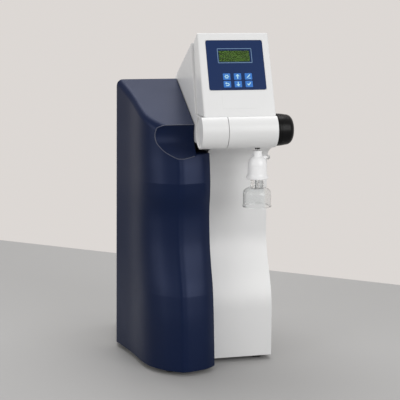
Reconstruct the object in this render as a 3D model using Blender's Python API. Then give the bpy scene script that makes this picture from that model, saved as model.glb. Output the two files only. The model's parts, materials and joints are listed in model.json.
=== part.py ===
# Ultrapure water system for a lab bench: a white housing with a swelling navy cartridge door on its left,
# a column with an S-shaped front, and a leaning control head whose barrel carries the dispense knob.
# The machine frame has +X to the user's right, +Y to the back and +Z up. Modelling starts from the foot of
# the column's front, and the frame is then moved so that its origin is under the middle of the machine.
from math import cos, pi, radians, sin, sqrt, tan

import bmesh
import bpy
from mathutils import Matrix, Vector

# Fits shared by many pieces
fit_gap = 0.0003
hinge_gap = 0.001
cut_past = 0.004
shell_wall = 0.003
thin_wall = 0.0025
round_steps = 26
small_steps = 16
smooth_angle = radians(32)
edge_angle = radians(70)

# Driving sizes of the machine
column_left = -0.0095
column_right = 0.109
column_depth = 0.1387
shell_bottom = 0.008
barrel_height = 0.447
head_floor_drop = 0.0275
head_floor = barrel_height - head_floor_drop
face_rise = 0.0245
face_foot = barrel_height + face_rise
head_height = 0.1465
head_top = face_foot + head_height
housing_drop = 0.0915
housing_top_front = head_top - housing_drop
housing_fall = 0.0215
housing_top_back = housing_top_front - housing_fall
housing_depth = 0.29
foot_height = 0.0097
housing_taper = 0.143
housing_corner = 0.02
housing_front = column_depth + 2 * fit_gap

# Cartridge door
door_left = -0.172
door_right = -0.011
door_back = 0.138
door_depth = 0.201
door_stand = 0.0025
door_back_top = housing_top_front + door_stand
door_fall = 0.076
door_front_top = door_back_top - door_fall
door_draft = 0.0085
door_top_round = 0.011
notch_drop = 0.047
door_notch_bottom = barrel_height - notch_drop
door_return = 0.052
door_plan_shares = [
    (0.0, 0.0), (0.118, 0.313), (0.224, 0.687), (0.373, 0.876), (0.565, 0.985),
    (0.634, 1.0), (0.72, 0.992), (0.894, 0.945), (1.0, 0.876),
]
door_swell_shares = [
    (0.0, 1.0), (0.157, 0.965), (0.228, 0.938), (0.263, 0.922), (0.298, 0.892), (0.365, 0.813),
    (0.434, 0.756), (0.524, 0.733), (0.57, 0.745), (0.603, 0.77), (0.653, 0.782), (0.704, 0.76),
    (0.756, 0.733), (0.85, 0.722), (1.0, 0.71),
]

# Finger scoop in the door: a hollow that starts under the slope's front edge and ends on the door's front
scoop_back = 0.0095
scoop_drop = 0.062
scoop_low = door_front_top - scoop_drop
scoop_reach = 0.023
scoop_shares = [
    (0.0, 0.0), (-0.13, 0.145), (-0.174, 0.323), (-0.087, 0.492), (0.113, 0.626), (0.339, 0.758),
    (0.609, 0.874), (0.848, 0.96), (1.0, 1.0),
]

# Column front: it steps back in an S and runs forward again under the head
column_step = 0.045
step_low = 0.1
step_high = 0.245
chin_drop = 0.0332
chin_high = barrel_height - chin_drop
chin_rise = 0.0418
chin_low = chin_high - chin_rise
chin_front = -0.0165
chin_shares = [(0.0, 0.0), (0.04, 0.33), (0.11, 0.5), (0.23, 0.64), (0.43, 0.76), (0.63, 0.85), (1.0, 1.0)]
column_flange = 0.033

# Head
head_left = -0.0365
head_right = 0.0945
head_rim = 0.001
head_flare_share = 0.065
face_lean = radians(23.6)
face_foot_front = -0.0626
head_top_slope = radians(29.4)
head_top_run = 0.033
side_seam_foot = 0.0021
edge_round = 0.003

# Barrel and knob
barrel_front = -0.05
barrel_radius = 0.0315
barrel_wall = 0.0025
barrel_left = -0.0428
barrel_split = 0.0043
barrel_split_gap = 0.0007
barrel_right = 0.0942
end_cap_depth = 0.003
end_cap_thick = 0.0025
collar_radius = 0.027
collar_length = 0.0016
knob_radius = 0.029
knob_tip_radius = 0.0272
knob_length = 0.0296
knob_round = 0.012
stem_radius = 0.006

# Outlet and final filter
outlet_x = 0.0635
outlet_radius = 0.0045
outlet_bore = 0.0025
outlet_drop = 0.0045
outlet_tip_radius = 0.0036
valve_flange_radius = 0.0205
filter_neck_radius = 0.008
neck_drop = 0.0365
filter_neck_top = barrel_height - neck_drop
neck_length = 0.0105
filter_dome_top = filter_neck_top - neck_length
filter_radius = 0.017
dome_height = 0.016
filter_dome_low = filter_dome_top - dome_height
filter_flange_radius = 0.02
filter_flange_thick = 0.004
capsule_length = 0.024
filter_bottom = filter_dome_low - capsule_length
vent_drop = 0.002
vent_height = filter_dome_top - vent_drop
vent_radius = 0.004
vent_stub_radius = 0.003
vent_stub_length = 0.0132
vent_cap_length = 0.0055
clear_neck_radius = 0.012
clear_neck_length = 0.016
clear_neck_bottom = filter_bottom - clear_neck_length
bell_radius = 0.0255
bell_round = 0.011
bell_shoulder = clear_neck_bottom - bell_round
bell_length = 0.0245
bell_bottom = bell_shoulder - bell_length
bell_wall = 0.0015

# Control face, measured on the face plane: across from the column's edge, and up from the face's foot
overlay_left = -0.0225
overlay_right = 0.0815
overlay_low = 0.051
overlay_high = 0.145
overlay_thick = 0.001
overlay_recess = 0.0008
overlay_corner = 0.004
window_left = 0.0
window_right = 0.056
window_low = 0.1045
window_high = 0.125
key_width = 0.0135
key_height = 0.012
key_thick = 0.0022
key_proud = 0.0006
key_first = 0.0105
key_pitch_across = 0.01985
key_pitch_up = 0.0142
key_row_centre = 0.0617
key_travel = 0.0005
keypad_thick = 0.0016
lcd_thick = 0.007

# Base
plate_thick = 0.006
plate_inset = 0.0105
foot_radius = 0.011
foot_chamfer = 0.0016
foot_inset = 0.024
front_foot_shares = (0.5, 0.98)

# Door hinge and catch
hinge_front = -0.043
hinge_turn = radians(12)
hinge_height = 0.022
hinge_rod_radius = 0.002
hinge_rod_left = -0.096
hinge_rod_right = -0.048
ear_thick = 0.005
ear_radius = 0.004
knuckle_radius = 0.0038
knuckle_length = 0.0075
magnet_size = 0.012
magnet_thick = 0.008
wall_seat = 0.0008
magnet_drop = 0.007
magnet_high = barrel_height - magnet_drop
strike_thick = 0.0016

# Cartridge bay
bulkhead_thick = 0.0025
manifold_drop = 0.073
manifold_low = barrel_height - manifold_drop
manifold_thick = 0.018
manifold_front = 0.017
bay_clearance = 0.003
swing_room = 0.009
cartridge_radius = 0.029
prefilter_radius = 0.025
cartridge_row_x = -0.049
prefilter_x = -0.114
cartridge_cap = 0.016
cartridge_cap_grow = 0.0015
cup_height = 0.014
cup_wall = 0.002

# Rear compartment
back_panel_left = -0.085
back_panel_right = 0.085
back_panel_low = 0.03
back_panel_high = 0.2
back_panel_thick = 0.0022
fitting_radius = 0.008
fitting_reach = 0.014
fitting_nut = 0.0084
fitting_tip_radius = 0.0064
fitting_bore = 0.0033
fitting_height = 0.06
fitting_first = -0.06
fitting_pitch = 0.025
thread_radius = 0.006
thread_length = 0.012
inlet_x = 0.055
inlet_z = 0.075
inlet_width = 0.027
inlet_height = 0.02
inlet_flange = 0.004
inlet_depth = 0.022
socket_depth = 0.014
inlet_wall = 0.003
earth_pin = 0.002
rocker_width = 0.012
rocker_height = 0.02
rocker_thick = 0.006
rocker_rise = 0.003
rocker_tilt = radians(6)
pump_radius = 0.03
pump_y = (housing_front + housing_depth) / 2
pump_z = 0.06
pump_left = -0.055
pump_motor_length = 0.075
pump_foot = 0.024
pump_head_length = 0.038
pump_head_rim = 0.0114
pump_head_radius = 0.024
lamp_radius = 0.02
lamp_x = -0.098
lamp_cap = 0.01
lamp_drop = 0.337
lamp_low = barrel_height - lamp_drop
lamp_length = 0.3
ultrafilter_radius = 0.022
ultrafilter_x = -0.03
ultrafilter_drop = 0.237
ultrafilter_low = barrel_height - ultrafilter_drop
ultrafilter_length = 0.22
module_back = 0.04
module_y = housing_depth - module_back
clip_height = 0.014
clip_drop = 0.147
clip_low = barrel_height - clip_drop
cell_radius = 0.009
cell_length = 0.028
cell_body_length = 0.0168
cell_top_radius = 0.0054
supply_width = 0.08
supply_depth = 0.045
supply_height = 0.13
supply_drop = 0.117
supply_low = barrel_height - supply_drop
supply_left = 0.015
board_thick = 0.0016
board_drop = 0.087
board_high = barrel_height - board_drop
board_length = 0.23
board_low = board_high - board_length
board_front = 0.072
board_back = 0.128
standoff_length = 0.0055
standoff_radius = 0.003
board_part_shares = ((0.15, 0.1, 0.5, 0.25, 6), (0.2, 0.45, 0.7, 0.6, 3), (0.1, 0.7, 0.4, 0.9, 5))
valve_size = 0.028
valve_depth = 0.022
coil_radius = 0.011
tube_radius = 0.003
tube_path_rise = 0.021
tube_path_height = barrel_height + tube_path_rise

navy = (0.022, 0.035, 0.09, 1.0)
white = (0.8, 0.8, 0.79, 1.0)
grey_white = (0.68, 0.68, 0.67, 1.0)
black = (0.02, 0.02, 0.022, 1.0)
steel = (0.6, 0.6, 0.61, 1.0)
panel_blue = (0.02, 0.05, 0.16, 1.0)
key_blue = (0.03, 0.16, 0.5, 1.0)
lcd_green = (0.2, 0.24, 0.08, 1.0)
board_green = (0.03, 0.18, 0.08, 1.0)
clear = (0.85, 0.87, 0.88, 1.0)

for old in list(bpy.data.objects):
    bpy.data.objects.remove(old)

machine = bpy.data.objects.new("machine_frame", None)
bpy.context.scene.collection.objects.link(machine)
face_frame = bpy.data.objects.new("face_frame", None)
bpy.context.scene.collection.objects.link(face_frame)
face_frame.parent = machine
face_frame.location = (0, face_foot_front, face_foot)
face_frame.rotation_euler = (pi / 2 - face_lean, 0, 0)
face_height = (head_top - face_foot) / cos(face_lean)


def finish(name, color, roughness=0.4, metallic=0.0):
    """A Principled material, made once for each name."""
    if name in bpy.data.materials:
        return bpy.data.materials[name]
    material = bpy.data.materials.new(name)
    material.use_nodes = True
    shader = material.node_tree.nodes["Principled BSDF"]
    shader.inputs["Base Color"].default_value = color
    shader.inputs["Roughness"].default_value = roughness
    shader.inputs["Metallic"].default_value = metallic
    material.diffuse_color = color
    return material


def add(name, bm, material=None, parent=machine):
    """Links a bmesh as an object under its parent, with faces out and round stretches smooth."""
    bmesh.ops.recalc_face_normals(bm, faces=bm.faces)
    mesh = bpy.data.meshes.new(name)
    bm.to_mesh(mesh)
    bm.free()
    mesh.shade_smooth()
    mesh.set_sharp_from_angle(angle=smooth_angle)
    piece = bpy.data.objects.new(name, mesh)
    bpy.context.scene.collection.objects.link(piece)
    piece.parent = parent
    if material:
        mesh.materials.append(material)
    return piece


def modify(piece, tool, operation):
    tool.hide_render = True
    tool.display_type = "WIRE"
    boolean = piece.modifiers.new(tool.name, "BOOLEAN")
    boolean.object = tool
    boolean.operation = operation


def cut(piece, *tools):
    for tool in tools:
        modify(piece, tool, "DIFFERENCE")


def join(piece, *tools):
    for tool in tools:
        modify(piece, tool, "UNION")


def block(low, high):
    bm = bmesh.new()
    bmesh.ops.create_cube(bm, size=1.0)
    low = Vector(low)
    high = Vector(high)
    bm.transform(Matrix.Translation((low + high) / 2) @ Matrix.Diagonal((*(high - low), 1.0)))
    return bm


def loft(rings):
    """A closed solid through rings of equal length, with flat ends."""
    bm = bmesh.new()
    loops = [[bm.verts.new(point) for point in ring] for ring in rings]
    count = len(loops[0])
    for lower, upper in zip(loops, loops[1:]):
        for i in range(count):
            j = (i + 1) % count
            bm.faces.new((lower[i], lower[j], upper[j], upper[i]))
    bm.faces.new(reversed(loops[0]))
    bm.faces.new(loops[-1])
    return bm


def along_x(outline, low, high):
    """A prism of a (y, z) outline."""
    return loft([[(x, y, z) for y, z in outline] for x in (low, high)])


def along_z(outline, low, high):
    """A prism of an (x, y) outline."""
    return loft([[(x, y, z) for x, y in outline] for z in (low, high)])


def turned(profile, steps=round_steps, ring=False):
    """Turns (radius, height) points about Z. A ring profile closes on itself and leaves a bore."""
    bm = bmesh.new()
    rows = []
    for radius, height in profile:
        if radius <= 0:
            rows.append([bm.verts.new((0, 0, height))] * steps)
            continue
        turns = [2 * pi * i / steps for i in range(steps)]
        rows.append([bm.verts.new((radius * cos(t), radius * sin(t), height)) for t in turns])
    pairs = list(zip(rows, rows[1:]))
    if ring:
        pairs.append((rows[-1], rows[0]))
    for lower, upper in pairs:
        for i in range(steps):
            j = (i + 1) % steps
            corners = list(dict.fromkeys((lower[i], lower[j], upper[j], upper[i])))
            if len(corners) > 2:
                bm.faces.new(corners)
    if not ring:
        for row in (rows[0], rows[-1]):
            if row[0] is not row[1]:
                bm.faces.new(row)
    return bm


def rod(radius, low, high, steps=small_steps):
    return turned([(radius, low), (radius, high)], steps)


def tube(outer, inner, low, high, steps=round_steps):
    return turned([(outer, low), (outer, high), (inner, high), (inner, low)], steps, ring=True)


def lay_x(bm, place):
    """Turns a shape made about Z so that it runs along +X from the place."""
    bm.transform(Matrix.Translation(place) @ Matrix.Rotation(pi / 2, 4, "Y"))
    return bm


def lay_y(bm, place):
    """Turns a shape made about Z so that it runs along +Y from the place."""
    bm.transform(Matrix.Translation(place) @ Matrix.Rotation(-pi / 2, 4, "X"))
    return bm


def put(bm, place):
    bm.transform(Matrix.Translation(place))
    return bm


def set_pivot(piece, point):
    """Moves a piece's origin to a point of the machine frame and leaves the piece where it is."""
    piece.data.transform(Matrix.Translation(-Vector(point)))
    piece.location = point


def share_at(table, share):
    """Reads a table of (share, value) pairs at a share, straight between its points."""
    for (low, first), (high, last) in zip(table, table[1:]):
        if share <= high:
            return first + (last - first) * max(share - low, 0) / (high - low)
    return table[-1][1]


def flowing(points, steps=3):
    """A smooth line through points, with the ends kept."""
    ends = [points[0]] + list(points) + [points[-1]]
    line = []
    for before, start, end, after in zip(ends, ends[1:], ends[2:], ends[3:]):
        for i in range(steps):
            t = i / steps
            spot = []
            for a, b, c, d in zip(before, start, end, after):
                bend = (2 * a - 5 * b + 4 * c - d) * t * t + (3 * b - a - 3 * c + d) * t * t * t
                spot.append((2 * b + (c - a) * t + bend) / 2)
            line.append(tuple(spot))
    return line + [tuple(points[-1])]


def inset(points, amounts):
    """Moves each edge of an anticlockwise (x, y) outline inwards by its own amount."""
    lines = []
    for i, start in enumerate(points):
        start = Vector(start)
        along = (Vector(points[(i + 1) % len(points)]) - start).normalized()
        inward = Vector((-along.y, along.x))
        lines.append((start + inward * amounts[i], along))
    moved = []
    for i, (start, along) in enumerate(lines):
        before, last_along = lines[i - 1]
        turn = last_along.x * along.y - last_along.y * along.x
        offset = start - before
        if abs(turn) < 1e-6:
            moved.append(tuple(start))
            continue
        reach = (offset.x * along.y - offset.y * along.x) / turn
        moved.append(tuple(before + last_along * reach))
    return moved


# Cartridge door

door_plan = flowing(door_plan_shares)
near, far = door_plan[0], door_plan[3]
waist_depth = door_depth * min(value for _, value in door_swell_shares)
wall_flare = (door_right - door_left) * (far[0] - near[0]) / (waist_depth * (far[1] - near[1]))


def door_top(y):
    """Height of the door's sloping top at a depth."""
    share = (y - scoop_back) / (door_back - scoop_back)
    return door_front_top + (door_back_top - door_front_top) * share


def draft(z):
    """How far the left wall leans in at a height."""
    return door_draft * (z - shell_bottom) / (door_back_top - shell_bottom)


def door_spot(across, back_share, z):
    share = (z - shell_bottom) / (door_back_top - shell_bottom)
    width = door_right - door_left - draft(z)
    depth = door_depth * share_at(door_swell_shares, share)
    return door_right - width * (1 - across), door_back - depth * back_share


def door_ring(height, below_top, front_inset, right_inset, back_inset):
    """The door's outline, flat at a height or parallel to the sloping top."""
    flat = []
    for across, back_share in door_plan:
        z = height if below_top is None else door_back_top
        x, y = door_spot(across, back_share, z)
        for _ in range(0 if below_top is None else 4):
            z = door_top(y) - below_top
            x, y = door_spot(across, back_share, z)
        flat.append((x, y))
    flat.append((door_right, door_back))
    amounts = [front_inset] * (len(flat) - 2) + [right_inset, back_inset]
    moved = inset(flat, amounts)
    if below_top is None:
        return [(x, y, height) for x, y in moved]
    return [(x, y, door_top(y) - below_top) for x, y in moved]


def door_solid(wall, right_wall, past):
    """The door's outside, or its hollow when a wall is given."""
    rings = [door_ring(shell_bottom - past, None, wall, right_wall, -past)]
    top_round = door_top_round - wall
    highest = door_top(door_back - door_depth * door_swell_shares[-1][1]) - door_top_round
    for share, _ in door_swell_shares[1:]:
        height = shell_bottom + (door_back_top - shell_bottom) * share
        if height < highest - edge_round:
            rings.append(door_ring(height, None, wall, right_wall, -past))
    steps = 5
    for i in range(steps):
        turn = pi / 2 * i / (steps - 1)
        below = wall * sqrt(2) + top_round * (1 - sin(turn))
        rings.append(door_ring(None, below, wall + top_round * (1 - cos(turn)), right_wall, -past))
    return loft(rings)


def scoop_outline(wall):
    """The scoop's (y, z) outline: a hollow back that runs into a shelf, down to the door's front."""
    points = [(scoop_back + wall, door_back_top)]
    for forward, down in flowing(scoop_shares, 2):
        points.append((scoop_back + wall - scoop_reach * forward, door_front_top - wall - scoop_drop * down))
    front = door_back - door_depth
    points.append((front, scoop_low - wall))
    points.append((front, door_back_top))
    return points


def door_front(x):
    """Depth of the door's outside at its foot, at a place across it."""
    share = 1 - (door_right - x) / (door_right - door_left)
    return door_back - door_depth * share_at(door_plan, share)


def hinge_turned(bm):
    """Turns a shape about the middle of the hinge rod, so that the door opens away from the head."""
    middle = Vector(((hinge_rod_left + hinge_rod_right) / 2, hinge_front, hinge_height))
    bm.transform(Matrix.Translation(middle) @ Matrix.Rotation(-hinge_turn, 4, "Z")
                 @ Matrix.Translation(-middle))
    return bm


def hinge_line(x):
    """Depth of the hinge's axis at a place across the door."""
    return hinge_front - (x - (hinge_rod_left + hinge_rod_right) / 2) * tan(hinge_turn)


def hinge_rod(radius):
    shape = lay_x(rod(radius, 0, hinge_rod_right - hinge_rod_left),
                  (hinge_rod_left, hinge_front, hinge_height))
    return hinge_turned(shape)


def cartridge_door():
    navy_plastic = finish("door_navy", navy, 0.35)
    door = add("cartridge_door", door_solid(0, 0, 0), navy_plastic)
    hollow = add("door_hollow", door_solid(shell_wall, shell_wall, cut_past))
    past_right = column_left + cut_past
    notch_left = head_left - head_rim - hinge_gap
    for wall, piece in ((0, door), (shell_wall, hollow)):
        suffix = "_outer" if wall == 0 else "_inner"
        low = (notch_left - wall, door_back - door_depth, door_notch_bottom - wall)
        high = (head_right, door_back + 2 * cut_past, door_back_top + cut_past)
        notch = add("door_notch" + suffix, flared(block(low, high)))
        scoop = add("door_scoop" + suffix, along_x(scoop_outline(wall), door_left, past_right))
        cut(piece, notch, scoop)
    cut(door, hollow)
    low = (notch_left - fit_gap, door_return, shell_bottom - cut_past)
    high = (head_right, door_back + cut_past, door_notch_bottom + cut_past)
    cut(door, add("door_right_opening", flared(block(low, high))))
    first = hinge_rod_left + ear_thick + hinge_gap
    last = hinge_rod_right - ear_thick - hinge_gap - knuckle_length
    for i, x in enumerate((first, last)):
        right = x + knuckle_length
        arm = [(x, hinge_line(x)), (x, door_front(x) + shell_wall / 2),
               (right, door_front(right) + shell_wall / 2), (right, hinge_line(right))]
        low = hinge_height - knuckle_radius / 3
        knuckle = lay_x(rod(knuckle_radius, 0, knuckle_length), (x, hinge_front, hinge_height))
        join(door, add(f"door_arm_{i}", along_z(arm, low, hinge_height + knuckle_radius)))
        join(door, add(f"door_knuckle_{i}", hinge_turned(knuckle)))
    cut(door, add("door_hinge_bore", hinge_rod(hinge_rod_radius + fit_gap)))
    set_pivot(door, (0, hinge_front, hinge_height))
    return door


def door_hardware():
    """The rod that the door tilts on, its magnet and the strike plate that it holds to."""
    add("door_hinge_rod", hinge_rod(hinge_rod_radius), finish("steel", steel, 0.3, 1.0))
    end_y = door_back - fit_gap - strike_thick / 2
    flare = (door_back - end_y + magnet_size) * wall_flare
    wall_x = door_left + draft(magnet_high + magnet_size) + shell_wall + wall_seat + flare
    low = (wall_x, end_y - magnet_size, magnet_high)
    high = (wall_x + magnet_thick, end_y, magnet_high + magnet_size)
    magnet = add("door_magnet", block(low, high), finish("magnet_black", black, 0.5))
    set_pivot(magnet, (0, hinge_front, hinge_height))
    low = (low[0], end_y + fit_gap, low[2])
    high = (high[0], housing_front, high[2])
    add("strike_plate", block(low, high), finish("steel", steel, 0.3, 1.0))


# Base

def base_plate():
    """The moulded tray that carries the columns, the cartridges and the hinge rod's ears."""
    across = plate_inset
    amounts = [across] * len(door_plan) + [fit_gap]
    plan = [(x, y) for x, y, _ in door_ring(shell_bottom, None, 0, 0, 0)]
    front = inset(plan, amounts)[:-1]
    outline = front[1:-1] + [
        (door_right - shell_wall - hinge_gap, door_front_corner() + across),
        (door_right - shell_wall - hinge_gap, door_return + hinge_gap),
        (column_left + shell_wall + fit_gap, door_return + hinge_gap),
        (column_left + shell_wall + fit_gap, shell_wall + plate_thick),
        (column_right - shell_wall - fit_gap, shell_wall + plate_thick),
    ]
    rear = housing_ring(shell_bottom, None, shell_wall + 2 * fit_gap, 0)
    outline += [(x, y) for x, y, _ in rear[1:]]
    outline.append((front[0][0], door_back))
    low = foot_height + fit_gap
    plate = add("base_plate", along_z(outline, low, low + plate_thick),
                finish("chassis_grey", grey_white, 0.5))
    for i, x in enumerate((hinge_rod_left, hinge_rod_right - ear_thick)):
        axis_y = hinge_line(x + ear_thick / 2)
        ear = block((x, axis_y - ear_radius, low + plate_thick / 2),
                    (x + ear_thick, axis_y + 2 * ear_radius, hinge_height + ear_radius))
        join(plate, add(f"base_ear_{i}", ear))
    bore = lay_x(rod(hinge_rod_radius + fit_gap, 0, hinge_rod_right - hinge_rod_left + 2 * cut_past),
                 (hinge_rod_left - cut_past, hinge_front, hinge_height))
    cut(plate, add("base_ear_bore", hinge_turned(bore)))
    return plate


def door_front_corner():
    """Depth of the door's front right corner at its foot."""
    return door_spot(1.0, door_plan_shares[-1][1], shell_bottom)[1]


def housing_left(y):
    """The rear housing's left side at its foot, which narrows to the back."""
    return door_left + (y - door_back) * housing_taper


def feet():
    rubber = finish("foot_rubber", black, 0.8)
    left = door_spot(*front_foot_shares, shell_bottom)
    places = {
        "front_left": (left[0], left[1] + foot_inset + 2 * plate_thick),
        "front_right": (column_right - foot_inset, foot_inset),
        "rear_right": (column_right - foot_inset, housing_depth - foot_inset),
        "rear_left": (housing_left(housing_depth) + foot_inset, housing_depth - foot_inset),
    }
    for place, (x, y) in places.items():
        profile = [(foot_radius - foot_chamfer, 0), (foot_radius, foot_chamfer), (foot_radius, foot_height)]
        add(f"foot_{place}", put(turned(profile, small_steps), (x, y, 0)), rubber)


# Column

def column_s_curve():
    """The column's front as (y, z) points from its foot to the chin."""
    steps = 9
    line = [(0, shell_bottom), (0, step_low / 2)]
    for i in range(steps + 1):
        share = i / steps
        line.append((column_step * (1 - cos(pi * share)) / 2, step_low + (step_high - step_low) * share))
    return line + [(column_step, chin_low)]


def column_chin():
    """The chin's underside as (y, z) points, forward from the column's front to its lip."""
    reach = column_step - chin_front
    rise = chin_high - chin_low
    shares = flowing(chin_shares, 2)[1:]
    return [(column_step - reach * forward, chin_low + rise * up) for forward, up in shares]


def column_hollow_line():
    """The front's inner face: one wall behind the S curve and one wall above the chin."""
    chin = [(y + shell_wall, z + shell_wall) for y, z in column_chin()]
    return [(y + shell_wall, z) for y, z in column_s_curve()] + chin


def front_column():
    white_plastic = finish("housing_white", white, 0.35)
    top = head_floor - fit_gap
    back = [(y + column_flange, z) for y, z in column_s_curve()]
    outline = column_s_curve() + column_chin() + [(chin_front, top), (back[-1][0], top)] + back[::-1]
    column = add("front_column", along_x(outline, column_left, column_right), white_plastic)
    inner = column_hollow_line()
    past = [(y + cut_past, z) for y, z in back]
    low = shell_bottom - cut_past
    high = top + cut_past
    outline = [(inner[0][0], low)] + inner + [(inner[-1][0], high), (past[-1][0], high)]
    outline += past[::-1] + [(past[0][0], low)]
    tool = along_x(outline, column_left + shell_wall, column_right - shell_wall)
    cut(column, add("column_hollow", tool))
    bevel = column.modifiers.new("edge_round", "BEVEL")
    column.modifiers.move(len(column.modifiers) - 1, 0)
    bevel.width = edge_round / 2
    bevel.segments = 2
    bevel.limit_method = "ANGLE"
    bevel.angle_limit = edge_angle
    return column


def side_walls():
    """The right side panel and the bay's inner wall, behind the column's flanges."""
    flange = [(y + column_flange + fit_gap, max(z, foot_height + plate_thick + 2 * fit_gap))
              for y, z in column_s_curve()]
    top = head_floor - fit_gap
    flange.append((flange[-1][0], top))
    right = flange + [(column_depth, top), (column_depth, flange[0][1])]
    add("right_side_panel", along_x(right, column_right - shell_wall, column_right),
        finish("housing_white", white, 0.35))
    wall_back = column_depth - fit_gap
    inner = flange + [(wall_back, top), (wall_back, flange[0][1])]
    add("bay_inner_wall", along_x(inner, column_left, column_left + shell_wall),
        finish("chassis_grey", grey_white, 0.5))


# Rear housing

def housing_top(y):
    share = (y - housing_front) / (housing_depth - housing_front)
    return housing_top_front + (housing_top_back - housing_top_front) * share


def housing_ring(height, below_top, wall, front_past):
    """The rear housing's outline with rounded rear corners, flat or parallel to its top."""
    z = housing_top_back if below_top is not None else height
    corner = housing_corner - wall
    shift = draft(z)
    left_front = door_left + shift + (housing_front - door_back) * housing_taper
    left_back = housing_left(housing_depth) + shift
    steps = 5
    points = [(column_right, housing_front), (column_right, housing_depth), (left_back, housing_depth)]
    points.append((left_front, housing_front))
    moved = inset(points, [wall, wall, wall, front_past])
    right, back = moved[1]
    left = moved[2][0]
    outline = [moved[0]]
    for i in range(steps):
        turn = pi / 2 * i / (steps - 1)
        outline.append((right - corner * (1 - cos(turn)), back - corner * (1 - sin(turn))))
    for i in range(steps):
        turn = pi / 2 * (1 + i / (steps - 1))
        outline.append((left + corner * (1 + cos(turn)), back - corner * (1 - sin(turn))))
    outline.append(moved[3])
    if below_top is None:
        return [(x, y, height) for x, y in outline]
    return [(x, y, housing_top(y) - below_top) for x, y in outline]


def housing_solid(wall, past):
    rings = [housing_ring(shell_bottom - past, None, wall, -past)]
    top_round = door_top_round - wall
    steps = 5
    for i in range(steps):
        turn = pi / 2 * i / (steps - 1)
        below = wall + top_round * (1 - sin(turn))
        rings.append(housing_ring(None, below, wall + top_round * (1 - cos(turn)), -past))
    return loft(rings)


def rear_housing():
    housing = add("rear_housing", housing_solid(0, 0), finish("housing_white", white, 0.35))
    cut(housing, add("housing_hollow", housing_solid(shell_wall, cut_past)))
    low = (back_panel_left, housing_depth - shell_wall - cut_past, back_panel_low)
    cut(housing, add("housing_back_opening", block(low, (back_panel_right, housing_depth + cut_past,
                                                         back_panel_high))))


def bulkhead():
    """The wall between the cartridge bay and the rear compartment."""
    low = foot_height + plate_thick + 2 * fit_gap
    high = housing_top(housing_front) - shell_wall - 2 * fit_gap - plate_thick / 2
    y = housing_front + fit_gap
    rings = []
    for depth in (y, y + bulkhead_thick):
        reach = (depth - door_back) * housing_taper + shell_wall + 2 * fit_gap
        rings.append([
            (door_left + draft(low) + reach, depth, low),
            (column_right - shell_wall - fit_gap, depth, low),
            (column_right - shell_wall - fit_gap, depth, high - door_top_round),
            (column_right - shell_wall - fit_gap - door_top_round, depth, high),
            (door_left + draft(high) + reach + door_top_round, depth, high),
            (door_left + draft(high) + reach, depth, high - door_top_round),
        ])
    add("bay_bulkhead", loft(rings), finish("chassis_grey", grey_white, 0.5))


# Head

def face_point(up, out):
    """Where a place on the face plane, and out from it, lies as (y, z)."""
    return (face_foot_front + up * sin(face_lean) - out * cos(face_lean),
            face_foot + up * cos(face_lean) + out * sin(face_lean))


def side_seam(z):
    """Depth of the seam between the front and rear shells at a height."""
    top_y, top_z = head_brow()
    return side_seam_foot + (top_y - side_seam_foot) * (z - face_foot) / (top_z - face_foot)


def head_brow():
    """The top of the seam between the shells, a short run down the slope, as (y, z)."""
    y, z = face_point(face_height, 0)
    return y + head_top_run, z - head_top_run * tan(head_top_slope)


def flared(bm):
    """Spreads a shape's two sides as they run back."""
    middle = (head_left + head_right) / 2
    for vertex in bm.verts:
        spread = vertex.co.y * head_flare_share
        vertex.co.x += spread if vertex.co.x > middle else -spread
    return bm


def head_front_shell():
    brow = head_brow()
    outline = [face_point(0, 0), (side_seam(face_foot), face_foot), brow, face_point(face_height, 0)]
    shell = add("head_front_shell", along_x(outline, head_left, head_right),
                finish("housing_white", white, 0.35))
    bevel = shell.modifiers.new("edge_round", "BEVEL")
    bevel.width = edge_round
    bevel.segments = 3
    bevel.limit_method = "ANGLE"
    bevel.angle_limit = edge_angle
    back = cut_past + edge_round
    roof = thin_wall / cos(head_top_slope)
    corner = face_point(face_height - thin_wall, -thin_wall)
    hollow = [
        face_point(thin_wall, -thin_wall),
        (side_seam(face_foot) + back, face_point(thin_wall, -thin_wall)[1]),
        (brow[0] + back, brow[1] - roof - back * tan(head_top_slope)),
        (corner[0], brow[1] - roof + (brow[0] - corner[0]) * tan(head_top_slope)),
    ]
    cut(shell, add("front_shell_hollow", along_x(hollow, head_left + thin_wall, head_right - thin_wall)))
    low = (overlay_left - fit_gap, overlay_low - fit_gap, -overlay_recess)
    high = (overlay_right + fit_gap, overlay_high + fit_gap, cut_past)
    cut(shell, add("overlay_recess", block(low, high), parent=face_frame))
    low = (window_left - key_width, key_row_centre - key_height * 3 / 4, -cut_past)
    high = (window_right + key_width, window_high + key_height / 2, cut_past)
    cut(shell, add("face_window", block(low, high), parent=face_frame))
    return shell


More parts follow.
